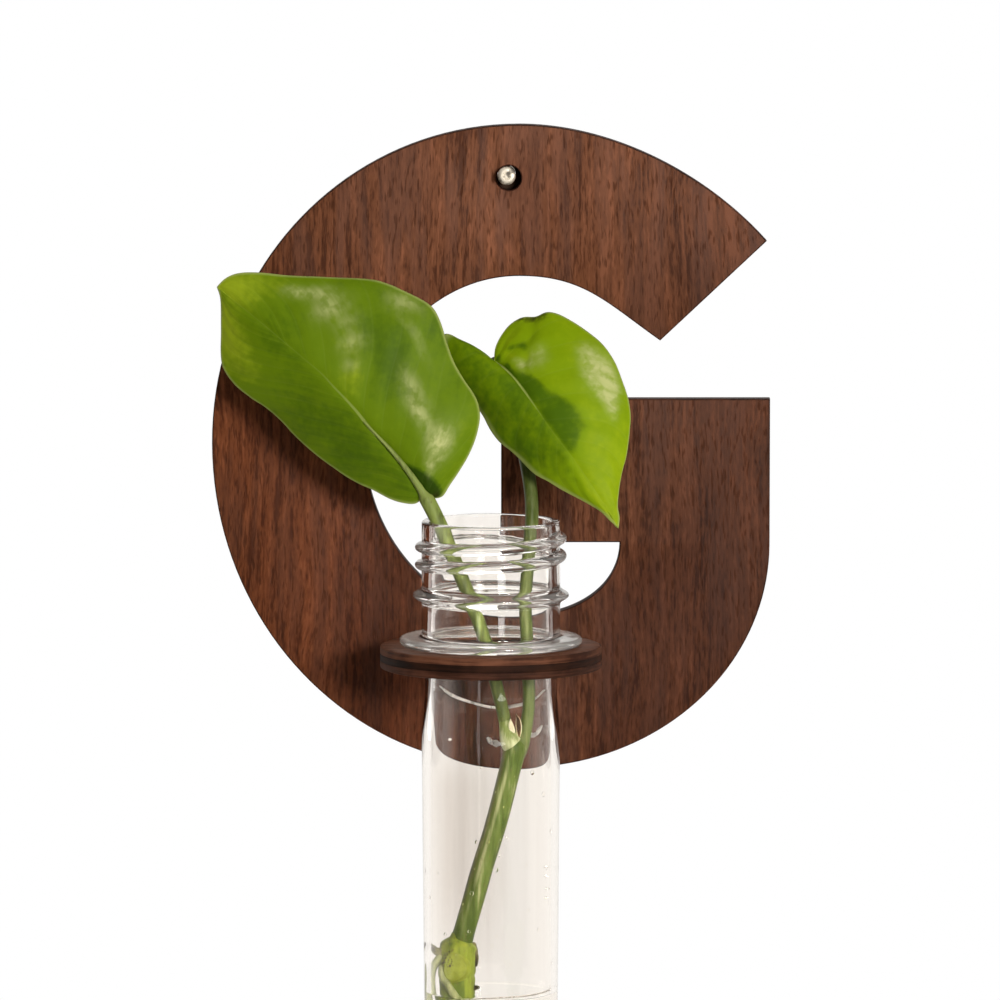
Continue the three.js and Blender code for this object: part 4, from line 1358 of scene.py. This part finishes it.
PETIOLE_LEFT = [
    (3.3, -0.2, -41.2), (2.4, 0, -36.5), (1.3, 0, -31.5), (-0.7, -0.5, -23.4), (-2.95, -0.98, -16.4),
    (-5.7, -0.98, -9.43), (-7.65, -0.98, -4.51), (-9.45, -0.98, -0.3),
]
PETIOLE_RIGHT = [
    (4.4, 0.5, -43.2), (5.55, 0.35, -40.6), (6.65, 0.6, -36.5), (6.85, 0.9, -31.5), (6.5, 1.53, -21.7),
    (6.21, 1.74, -14.8), (6.76, 1.96, -7.4), (7.3, 2.5, 0), (6.87, 4.47, 6.74), (5.01, 7.52, 15.5),
    (2.4, 7.96, 23.3), (0.76, 6.1, 28.1),
]
RIB_SHARES = (0.0, 0.05, 0.12, 0.21, 0.32)  # where the left petiole runs on along the leaf's midrib


def make_petioles():
    left_finish = green_stalk("left_petiole_skin", "84924a", "566030", "3a441a", 0.46, 0.86, ridge=0.2)
    right_finish = green_stalk("right_petiole_skin", "848a58", "5f6a38", "45521c", 0.46, 0.34, ridge=0.1)
    blade = traced_line(*LEFT_TRACE["midrib"])
    rib = [blade.at(share) - Vector((0, 0.12, 0)) for share in RIB_SHARES]
    left_line = Line(from_mouth(PETIOLE_LEFT) + rib)
    right_line = Line(from_mouth(PETIOLE_RIGHT))
    rib_start = left_line.reach[len(PETIOLE_LEFT) * LINE_STEPS] / left_line.reach[-1]

    def girth(share, angle):
        groove = -0.12 * hump(math.cos(angle), -1, 0.5) * math.sin(math.pi * share)
        return (1.14 + 0.26 * share) * (1 + 0.03 * math.cos(3 * angle)) + groove + 0.2 * hump(share, 0, 0.04)

    def left_radius(share, angle):
        """The petiole thins where it becomes the leaf's midrib."""
        thin = max(0.0, (share - rib_start) / (1 - rib_start)) ** 0.3
        return girth(min(1.0, share / rib_start), angle) * (1 - thin) + 0.16 * thin

    def right_radius(share, angle):
        return girth(share * 0.8, angle) + 0.2 * hump(share, 0.03, 0.04)

    stalk("left_petiole_piece", "petiole_left", "green_stalk", left_line, left_radius, 110, 28, left_finish)
    stalk(
        "right_petiole_piece", "petiole_right", "green_stalk", right_line, right_radius, 90, 28, right_finish,
    )


def make_scar():
    """Flat cut face of the old petiole on the lower node, with dark specks at its upper left."""

    def scar_radius(share, angle):
        lip = 0.1 * hump(share, 0.6, 0.1)
        oval = 1 / math.hypot(math.cos(angle) / 2.55, math.sin(angle) / 3.2)
        rounded = 1 - 0.22 * max(0.0, (share - 0.4) / 0.6) ** 2
        return oval * rounded + lip + 0.16 * math.cos(3 * angle + 0.5)

    start = LOWER_NODE + Vector((-0.25, -1.6, -1.1))
    end = LOWER_NODE + Vector((-0.25, -3.4, -1.0))
    line = Line(from_mouth([start, (start + end) / 2, end]))
    stalk("petiole_scar_piece", "petiole_scar", "pale_cut", line, scar_radius, 18, 32, pale_cut(), False)

    points, faces, _, _ = swept(line, scar_radius, 18, 32, round_ends=False)
    speckled = []
    for face in faces:
        spot = sum((points[i] for i in face), Vector()) / len(face) - MOUTH - LOWER_NODE
        if spot.x < -0.9 and spot.y < -2.0 and -1.0 < spot.z < 2.2:
            speckled.append(face)
    speck_finish = green_stalk("speck_skin", "5a4a26", "40341a", "2a2010", 0.4, 0.6)
    scatter(
        "node_specks", "speckled_side", points, speckled, speck_finish, "cutting", "dry_brown",
        Spacing=0.00036, Density=20000000.0, Smallest=0.00008, Largest=0.00018, Flatness=0.35, Length=1.4,
        Seed=5,
    )


def make_roots():
    """Short root nubs round the lower node, and pale roots that run down into the water."""
    husk = dry_skin("root_husk", "74704a", "4c462c", "2a2416")
    pale = green_stalk("root_skin", "c0c198", "949868", "686e40", 0.42, 0.6)
    nubs = {
        "root_nub_left": [(-2.3, -1.0, 1.0), (-3.9, -0.9, 1.7), (-5.6, -0.8, 2.9)],
        "root_nub_right": [(2.5, -0.4, 2.4), (3.2, -0.6, 0.9), (3.4, -0.6, -1.2)],
        "root_nub_low": [(1.8, -0.3, -5.0), (2.9, -0.4, -5.3), (3.9, -0.5, -5.2)],
    }
    roots = [
        [(-2.8, -1.2, 0.6), (-4.2, -1.4, -1.4), (-4.5, -1.4, -4.8), (-3.9, -1.2, -9.8)],
        [(-2.4, -2.3, -1.2), (-2.4, -2.8, -2.8), (-1.3, -3.2, -4.8), (0.1, -3.1, -7.2), (0.8, -2.8, -9.8)],
    ]

    def nub_radius(share, angle):
        return (0.85 - 0.6 * share ** 1.5) * (1 + 0.2 * math.cos(3 * angle + 7 * share))

    def root_radius(share, angle):
        return (0.78 - 0.18 * share) * (1 + 0.08 * math.cos(2 * angle + 9 * share))

    for name, path in nubs.items():
        line = Line(from_mouth(path, LOWER_NODE))
        stalk(name + "_piece", name, "dry_brown", line, nub_radius, 18, 14, husk)
    lines = [Line(from_mouth(path, LOWER_NODE)) for path in roots]
    piece = skin_piece("root_long_piece", swept_together(lines, root_radius, 30, 16), pale)
    carry(piece, "cutting", "dry_brown", "root_long")


# Leaves, traced at the photograph's viewpoint: for each line its pixels, and its depths from the tube's axis,
# evenly spaced along it
LEFT_TRACE = {
    "midrib": ([
        (425, 496), (416, 482), (405, 467), (390, 449), (371, 430), (353, 408), (334, 388), (320, 373),
        (300, 356), (280, 339), (260, 322), (240, 306), (216.5, 287),
    ], (-1.0, -2.1, -2.8, -2.6, -2.0, -0.7, 1.2, 3.6, 6.0)),
    "low": ([
        (425, 496), (416, 504), (405, 503.5), (390, 499), (371, 489), (353, 481), (334, 469), (316, 456),
        (297, 440), (279, 421), (264, 408), (249, 398), (235, 386), (225, 373), (221, 360), (221, 334),
        (221, 312), (220, 297), (216.5, 287),
    ], (-1.0, 1.5, 3.6, 5.2, 6.3, 7.2, 7.8, 7.5, 6.0)),
    "high": ([
        (425, 496), (434, 498.6), (443, 497), (449, 487), (458, 474), (469, 456), (477, 437), (481, 417),
        (478.7, 402), (473, 391), (464, 378), (454.7, 361.7), (447.3, 341.4), (441.7, 323), (434.3, 308),
        (424, 300), (408, 292), (390, 284), (371, 279), (334, 277), (288, 275), (260, 272), (238, 272.6),
        (225, 278), (216.5, 287),
    ], (-1.0, -1.4, -1.2, 0.0, 1.6, 3.2, 4.4, 5.4, 6.0)),
}
RIGHT_TRACE = {
    "midrib": ([
        (494, 362), (507, 371), (521, 387), (536, 408), (553, 433), (573, 459), (596, 492), (618.6, 528.5),
    ], (5.0, 1.8, -1.0, -3.0, -4.6, -5.8, -6.6, -7.1, -7.2)),
    "low": ([
        (494, 362), (477, 353), (465, 345), (452, 336), (443, 334), (440, 350), (446, 368), (458, 385),
        (470, 400), (481, 415), (489, 430), (498, 442), (513, 454), (525, 466), (535, 475), (547, 481),
        (562, 490), (585, 502), (600, 511), (610, 521), (618.6, 528.5),
    ], (5.0, 8.4, 8.2, 6.4, 4.0, 0.6, -2.8, -5.4, -7.2)),
    "high": ([
        (494, 362), (495, 349), (499, 339), (507, 327), (517, 319), (525, 316), (536, 316), (546, 311),
        (559, 313), (574, 321), (589, 331), (603, 343), (615, 360), (622, 378), (628, 396), (631, 414),
        (630, 432), (627, 454), (622, 474), (619, 493), (618, 507), (620, 517), (618.6, 528.5),
    ], (5.0, 7.3, 7.0, 5.4, 3.3, 0.8, -2.0, -4.8, -7.2)),
}


def traced_line(pixels, depths):
    """Line in the frame that shows along a row of pixels, with its depth running through the given values."""
    flat = [Vector((x, y, 0)) for x, y in pixels]
    reach = [0.0]
    for here, there in zip(flat, flat[1:]):
        reach.append(reach[-1] + (there - here).length)
    points = []
    for pixel, done in zip(pixels, reach):
        spot = done / reach[-1] * (len(depths) - 1)
        i = min(int(spot), len(depths) - 2)
        depth = depths[i] + (depths[i + 1] - depths[i]) * (spot - i)
        points.append(photo_point(pixel, MOUTH.y + depth))
    return Line(points, 6)


def places(share, t, marks):
    """Sum of soft places, each as (along, across, reach along, reach across, how much)."""
    return sum(much * hump(share, s, rs) * hump(t, c, rc) for s, c, rs, rc, much in marks)


def make_leaf(name, node, slot, trace, finish, look):
    """Leaf blade spanned between its midrib and its two margins, with a channel, veins and a rippled edge.

    Across the blade t runs from -1 at the low margin to 1 at the high one.
    """
    stations = 80
    strips = 24
    across = 2 * strips + 1
    spine, low, high = (traced_line(*trace[line]) for line in ("midrib", "low", "high"))
    veins = look["veins"]
    rows = []
    facts = []
    for i in range(stations + 1):
        share = i / stations
        middle = spine.at(share)
        row = []
        for j in range(across):
            t = j / strips - 1
            edge = (low if t < 0 else high).at(share)
            out = abs(t)
            half = (edge - middle).length
            row.append(middle.lerp(edge, out))
            facts.append({
                "from_midrib": out * half,
                "from_margin": (1 - out) * half / look["rim"][0 if t < 0 else 1],
                "along": share,
                "vein": veins * share - 0.36 * veins * out ** 0.8,
                # Painted shade and painted highlights, by place on the blade
                "shade": look["shade"](share, t),
                "bloom": min(0.9, places(share, t, look["bloom"])),
                "scab": min(1.0, places(share, t, look["scab"])),
                "across": t,
                "half": half,
            })
        rows.append(row)

    def frontwards(i, j):
        """The blade's normal on the side that faces the front."""
        along = rows[min(i + 1, stations)][j] - rows[max(i - 1, 0)][j]
        over = rows[i][min(j + 1, across - 1)] - rows[i][max(j - 1, 0)]
        way = over.cross(along)
        way = way.normalized() if way.length > 1e-9 else Vector((0, -1, 0))
        return -way if way.y > 0 else way

    points = []
    for place, fact in enumerate(facts):
        i, j = divmod(place, across)
        spot = rows[i][j]
        share = fact["along"]
        t = fact["across"]
        out = abs(t)
        half = fact["half"]
        bulge = 4 * out * (1 - out)
        crown = look["crown"](share, t) * bulge * half
        channel = -0.30 * hump(fact["from_midrib"], 0, 0.7) * min(1.0, half / 3)
        quilt = 0.07 * math.cos(2 * math.pi * fact["vein"]) * bulge * min(1.0, half / 8)
        ripple = 0.2 * out ** 4 * math.sin(9 * share + (1.5 if t > 0 else 0)) * min(1.0, half / 6)
        pucker = 0.10 * noise.noise(spot * 0.33) + 0.05 * noise.noise(spot * 0.8)
        rise = crown + channel + quilt + ripple + pucker * min(1.0, half / 5)
        points.append(spot + frontwards(i, j) * rise)
    faces = []
    for i in range(stations):
        for j in range(across - 1):
            here = i * across + j
            faces.append([here, here + across, here + across + 1, here + 1])
    leaf = new_piece(name, points, faces, finish)
    for label in LEAF_FACTS:
        store(leaf, label, [fact[label] for fact in facts])
    join_doubles(leaf.data)
    front = sum((face.normal * face.area for face in leaf.data.polygons), Vector())
    if front.y > 0:
        leaf.data.flip_normals()
    wall = leaf.modifiers.new("thickness", "SOLIDIFY")
    wall.thickness = LEAF_T * MM
    wall.offset = -1.0
    smooth = leaf.modifiers.new("smooth", "SUBSURF")
    smooth.levels = 1
    smooth.render_levels = 1
    carry(leaf, "cutting", slot, node)


def join_doubles(mesh):
    """Joins doubled points and turns all faces one way."""
    form = bmesh.new()
    form.from_mesh(mesh)
    bmesh.ops.remove_doubles(form, verts=form.verts[:], dist=0.001 * MM)
    bmesh.ops.recalc_face_normals(form, faces=form.faces[:])
    form.to_mesh(mesh)
    form.free()


def left_shade(share, t):
    """Painted shade for the left leaf: the lower half is darker, a painted shadow lies in the fold beside the
    midrib at the leaf's foot, and soft places lighten or darken the green.
    """
    # Painted shadow in the fold, and painted shade over the lower half
    fold = ease((0.15 - 0.10 * t - share) / 0.03) * ease((t - 0.01) / 0.05)
    lower = ease(-t / 0.06)
    soft = places(share, t, [
        (0.25, -0.45, 0.25, 0.40, -0.20),
        (0.74, -0.50, 0.10, 0.35, 0.22),
        (0.86, -0.80, 0.12, 0.34, 0.60),
        (0.95, 0.40, 0.12, 0.90, 0.36),
        (0.76, 0.00, 0.10, 0.35, -0.20),
        (0.65, 0.95, 0.16, 0.14, -0.20),
        (0.53, 0.55, 0.10, 0.22, -0.30),
        (0.41, 0.42, 0.10, 0.20, -0.22),
        (0.42, 0.93, 0.10, 0.12, -0.15),
        (0.42, 0.10, 0.04, 0.10, 0.16),
        (0.47, 0.20, 0.04, 0.12, 0.24),
        (0.56, 0.36, 0.04, 0.12, 0.24),
        (0.64, 0.48, 0.04, 0.10, 0.16),
    ])
    return soft - 1.1 * fold - 0.12 * lower


def right_shade(share, t):
    """Painted shade for the right leaf: a painted shadow patch with a soft, wandering edge lies beside the
    midrib, the lower half is darker, and a painted shadow lies in the fold at its foot.
    """
    # Painted shadow patch beside the midrib and painted shade over the lower half
    wander = noise.noise(Vector((share * 9, t * 6, 0.3)))
    patch_edge = 0.08 + 0.47 * share + 0.05 * wander
    patch_end = 0.59 + 0.03 * wander
    inside = ease((patch_edge - t) / 0.12 + 0.5) * ease((patch_end - share) / 0.07 + 0.5)
    patch = inside * ease((t + 0.03) / 0.05) * ease((share - 0.04) / 0.06)
    lower_end = 0.62 + 0.9 * max(0.0, -t - 0.05)
    lower = ease(-t / 0.04) * (1 - ease((share - lower_end) / 0.16 + 0.5))
    lime = ease((share - 0.55) / 0.3)
    soft = places(share, t, [
        (0.04, 0.40, 0.03, 0.25, -0.6),
        (0.10, 0.17, 0.03, 0.10, -0.5),
        (0.13, 0.51, 0.025, 0.07, -0.55),
        (0.18, 0.53, 0.025, 0.07, -0.55),
    ])
    return soft - 0.46 * patch - 0.36 * lower + 0.22 * lime + 0.08


def left_crown(share, t):
    return 0.05 + (0.09 * hump(share, 0.12, 0.2) if t > 0 else 0.0)


def right_crown(share, t):
    return 0.06 + (0.05 * hump(share, 0.5, 0.25) if t > 0 else 0.0)


LEFT_LOOK = {
    "veins": 11,
    "rim": (1.0, 0.9),
    "shade": left_shade,
    "crown": left_crown,
    # Painted highlights: where pale gloss patches are painted on the blade
    "bloom": [
        (0.78, 0.68, 0.030, 0.10, 0.60),
        (0.72, 0.72, 0.035, 0.10, 0.60),
        (0.67, 0.56, 0.035, 0.14, 0.65),
        (0.60, 0.48, 0.025, 0.10, 0.30),
        (0.55, 0.36, 0.025, 0.10, 0.45),
        (0.50, 0.22, 0.020, 0.06, 0.35),
        (0.55, 0.90, 0.035, 0.08, 0.50),
        (0.47, 0.77, 0.060, 0.03, 0.30),
        (0.36, 0.55, 0.050, 0.07, 0.50),
        (0.29, 0.46, 0.050, 0.06, 0.75),
        (0.20, 0.58, 0.040, 0.12, 0.90),
        (0.17, 0.50, 0.040, 0.10, 0.60),
        (0.13, 0.42, 0.030, 0.07, 0.70),
    ],
    "scab": [(0.035, 0.75, 0.015, 0.15, 0.8)],
}
RIGHT_LOOK = {
    "veins": 9,
    "rim": (2.6, 0.8),
    "shade": right_shade,
    "crown": right_crown,
    # Painted highlights: where pale gloss patches are painted on the blade
    "bloom": [
        (0.41, 0.78, 0.030, 0.08, 0.65),
        (0.46, 0.75, 0.040, 0.13, 1.10),
        (0.51, 0.78, 0.040, 0.13, 1.20),
        (0.56, 0.78, 0.035, 0.11, 1.20),
        (0.52, 0.66, 0.025, 0.06, 0.60),
        (0.60, 0.72, 0.025, 0.07, 0.70),
        (0.46, 0.62, 0.020, 0.05, 0.50),
        (0.26, 0.46, 0.030, 0.09, 0.45),
        (0.18, 0.27, 0.030, 0.06, 0.75),
        (0.24, 0.33, 0.020, 0.05, 0.50),
    ],
    "scab": [
        (0.165, 0.97, 0.014, 0.06, 1.0),
        (0.20, 0.95, 0.020, 0.05, 1.0),
        (0.235, 0.94, 0.012, 0.04, 0.9),
    ],
}


def make_leaves():
    left_finish = leaf_finish("leaf_deep", "486404", "637e07", "92a51c", 0.62, 0.4)
    right_finish = leaf_finish("leaf_bright", "486604", "7c9804", "96ab0e", 0.42, 0.16)
    make_leaf("left_leaf", "leaf_left", "leaf_deep", LEFT_TRACE, left_finish, LEFT_LOOK)
    make_leaf("right_leaf", "leaf_right", "leaf_bright", RIGHT_TRACE, right_finish, RIGHT_LOOK)


# Stage


def plain_ground(name, scale, first, second):
    """Dull ground with a faint grain of two colours."""
    nodes = Finish(name, specular_ior_level=0.1, roughness=0.9)
    grain = nodes.coords.noise(scale)
    nodes.put(nodes.shader.inputs["Base Color"], nodes.mix(grain, first, second))
    return nodes


def make_ground():
    """Pale round floor under the hanging planter, and the shaded wall that shows in the nail's hole."""
    floor_z = -330
    points, faces = turned([(0, 0), (420, 0), (600, 0)], 96)
    nodes = plain_ground("pale_floor", 8, "ecebe8", "f4f3f0")
    rays = nodes.add("ShaderNodeLightPath")
    shown = nodes.math("MAXIMUM", rays["Is Camera Ray"] * 0.5, rays["Is Transmission Ray"])
    bright = nodes.add("ShaderNodeEmission", {"Color": (1.0, 0.97, 0.93, 1), "Strength": 1.0})[0]
    pale = nodes.blend_in(shown, bright)
    floor = new_piece("floor", [point + Vector((0, 0, floor_z)) for point in points], faces, pale)
    floor.data.flip_normals()

    dim = plain_ground("wall_in_shadow", 900, "2c2018", "46352a").material
    points, faces = turned([(NAIL_R + 0.05, 0), (HOLE_R + 2.0, 0)], NAIL_SIDES)
    laid = Matrix.Rotation(math.pi / 2, 3, "X")
    spot = [laid @ point + Vector((0, 0.25, 0)) for point in points]
    new_piece("wall_behind_hole", spot, faces, dim)


def make_world():
    """White for the camera, a soft warm light, and a room that gloss and glass see."""
    world = bpy.data.worlds.new("studio")
    world.use_nodes = True
    scene.world = world
    world.node_tree.nodes.clear()
    nodes = Nodes(world.node_tree)
    path = nodes.add("ShaderNodeLightPath")
    _, y, z = nodes.axes(nodes.add("ShaderNodeTexCoord")["Generated"])
    above = z.span(0.15, 0.6)
    lit = nodes.math("MAXIMUM", y.span(-0.2, 0.7), above)
    mirrored = nodes.mix(lit, (0.06, 0.06, 0.06, 1), (0.9, 0.88, 0.85, 1))
    clear = nodes.math("MAXIMUM", y.span(-0.45, 0.0), above)
    passed = nodes.mix(clear, (0.24, 0.22, 0.20, 1), (1.0, 0.955, 0.905, 1))
    room_color = nodes.mix(path["Is Transmission Ray"], mirrored, passed)
    soft, room, white = (
        nodes.add("ShaderNodeBackground", {"Color": color, "Strength": strength})[0]
        for color, strength in (((1.0, 0.89, 0.75, 1), 0.088), (room_color, 1.0), ((1, 1, 1, 1), 1.0))
    )
    mirror = nodes.math("MAXIMUM", path["Is Glossy Ray"], path["Is Transmission Ray"])
    clean = nodes.math("LESS_THAN", path["Diffuse Depth"], 0.5)
    shown = nodes.add("ShaderNodeMixShader", {0: mirror * clean, 1: soft, 2: room})[0]
    whole = nodes.add("ShaderNodeMixShader", {0: path["Is Camera Ray"], 1: shown, 2: white})[0]
    nodes.add("ShaderNodeOutputWorld", {"Surface": whole})


# Each lamp's place, size across and up, power and colour. All point at LAMP_AIM.
LAMP_AIM = Vector((0, -0.015, -0.07))
LAMPS = {
    "key_lamp": ((0.46, -1.14, 0.17), (0.42, 0.18), 13.6, (1.0, 0.97, 0.93)),
    "side_lamp": ((1.20, -0.50, 0.40), (0.6, 0.6), 1.2, (1.0, 0.98, 0.95)),
    "fill_lamp": ((-0.9, -0.8, 0.25), (0.9, 0.9), 0.15, (0.99, 0.99, 1.0)),
    "strip_lamp": ((-0.50, -1.33, -0.15), (0.17, 0.33), 0.20, (1.0, 1.0, 1.0)),
    "low_lamp": ((0.42, -1.30, -0.222), (0.30, 0.065), 0.25, (1.0, 1.0, 1.0)),
    "back_lamp": ((0.15, 1.20, 0.85), (0.8, 0.8), 4.0, (1.0, 0.97, 0.93)),
    "left_rim_lamp": ((-0.66, 0.42, -0.05), (0.36, 0.30), 0.6, (1.0, 0.98, 0.95)),
    "right_rim_lamp": ((0.66, 0.42, -0.05), (0.36, 0.30), 0.4, (1.0, 0.98, 0.95)),
}


def make_lamps():
    for name, (place, size, power, color) in LAMPS.items():
        lamp = bpy.data.lights.new(name, "AREA")
        lamp.shape = "ELLIPSE"
        lamp.size = size[0]
        lamp.size_y = size[1]
        lamp.energy = power
        lamp.color = color
        holder = bpy.data.objects.new(name, lamp)
        holder.location = place
        holder.rotation_euler = (LAMP_AIM - Vector(place)).to_track_quat("-Z", "Y").to_euler()
        scene.collection.objects.link(holder)


def make_camera():
    lens = bpy.data.cameras.new("camera")
    lens.sensor_width = SENSOR
    lens.lens = FOCAL_PIXELS / PHOTO_SIZE * SENSOR
    lens.clip_start = 0.01
    lens.clip_end = 20
    camera = bpy.data.objects.new("camera", lens)
    camera.location = CAMERA_PLACE
    camera.rotation_euler = (math.pi / 2 - CAMERA_PITCH, 0, 0)
    scene.collection.objects.link(camera)
    scene.camera = camera
    scene.view_settings.view_transform = "Standard"


make_board()
make_ring()
make_nail()
make_tube()
make_water()
make_stem()
make_upper_node()
make_sheath()
make_petioles()
make_scar()
make_roots()
make_leaves()
make_ground()
make_world()
make_lamps()
make_camera()
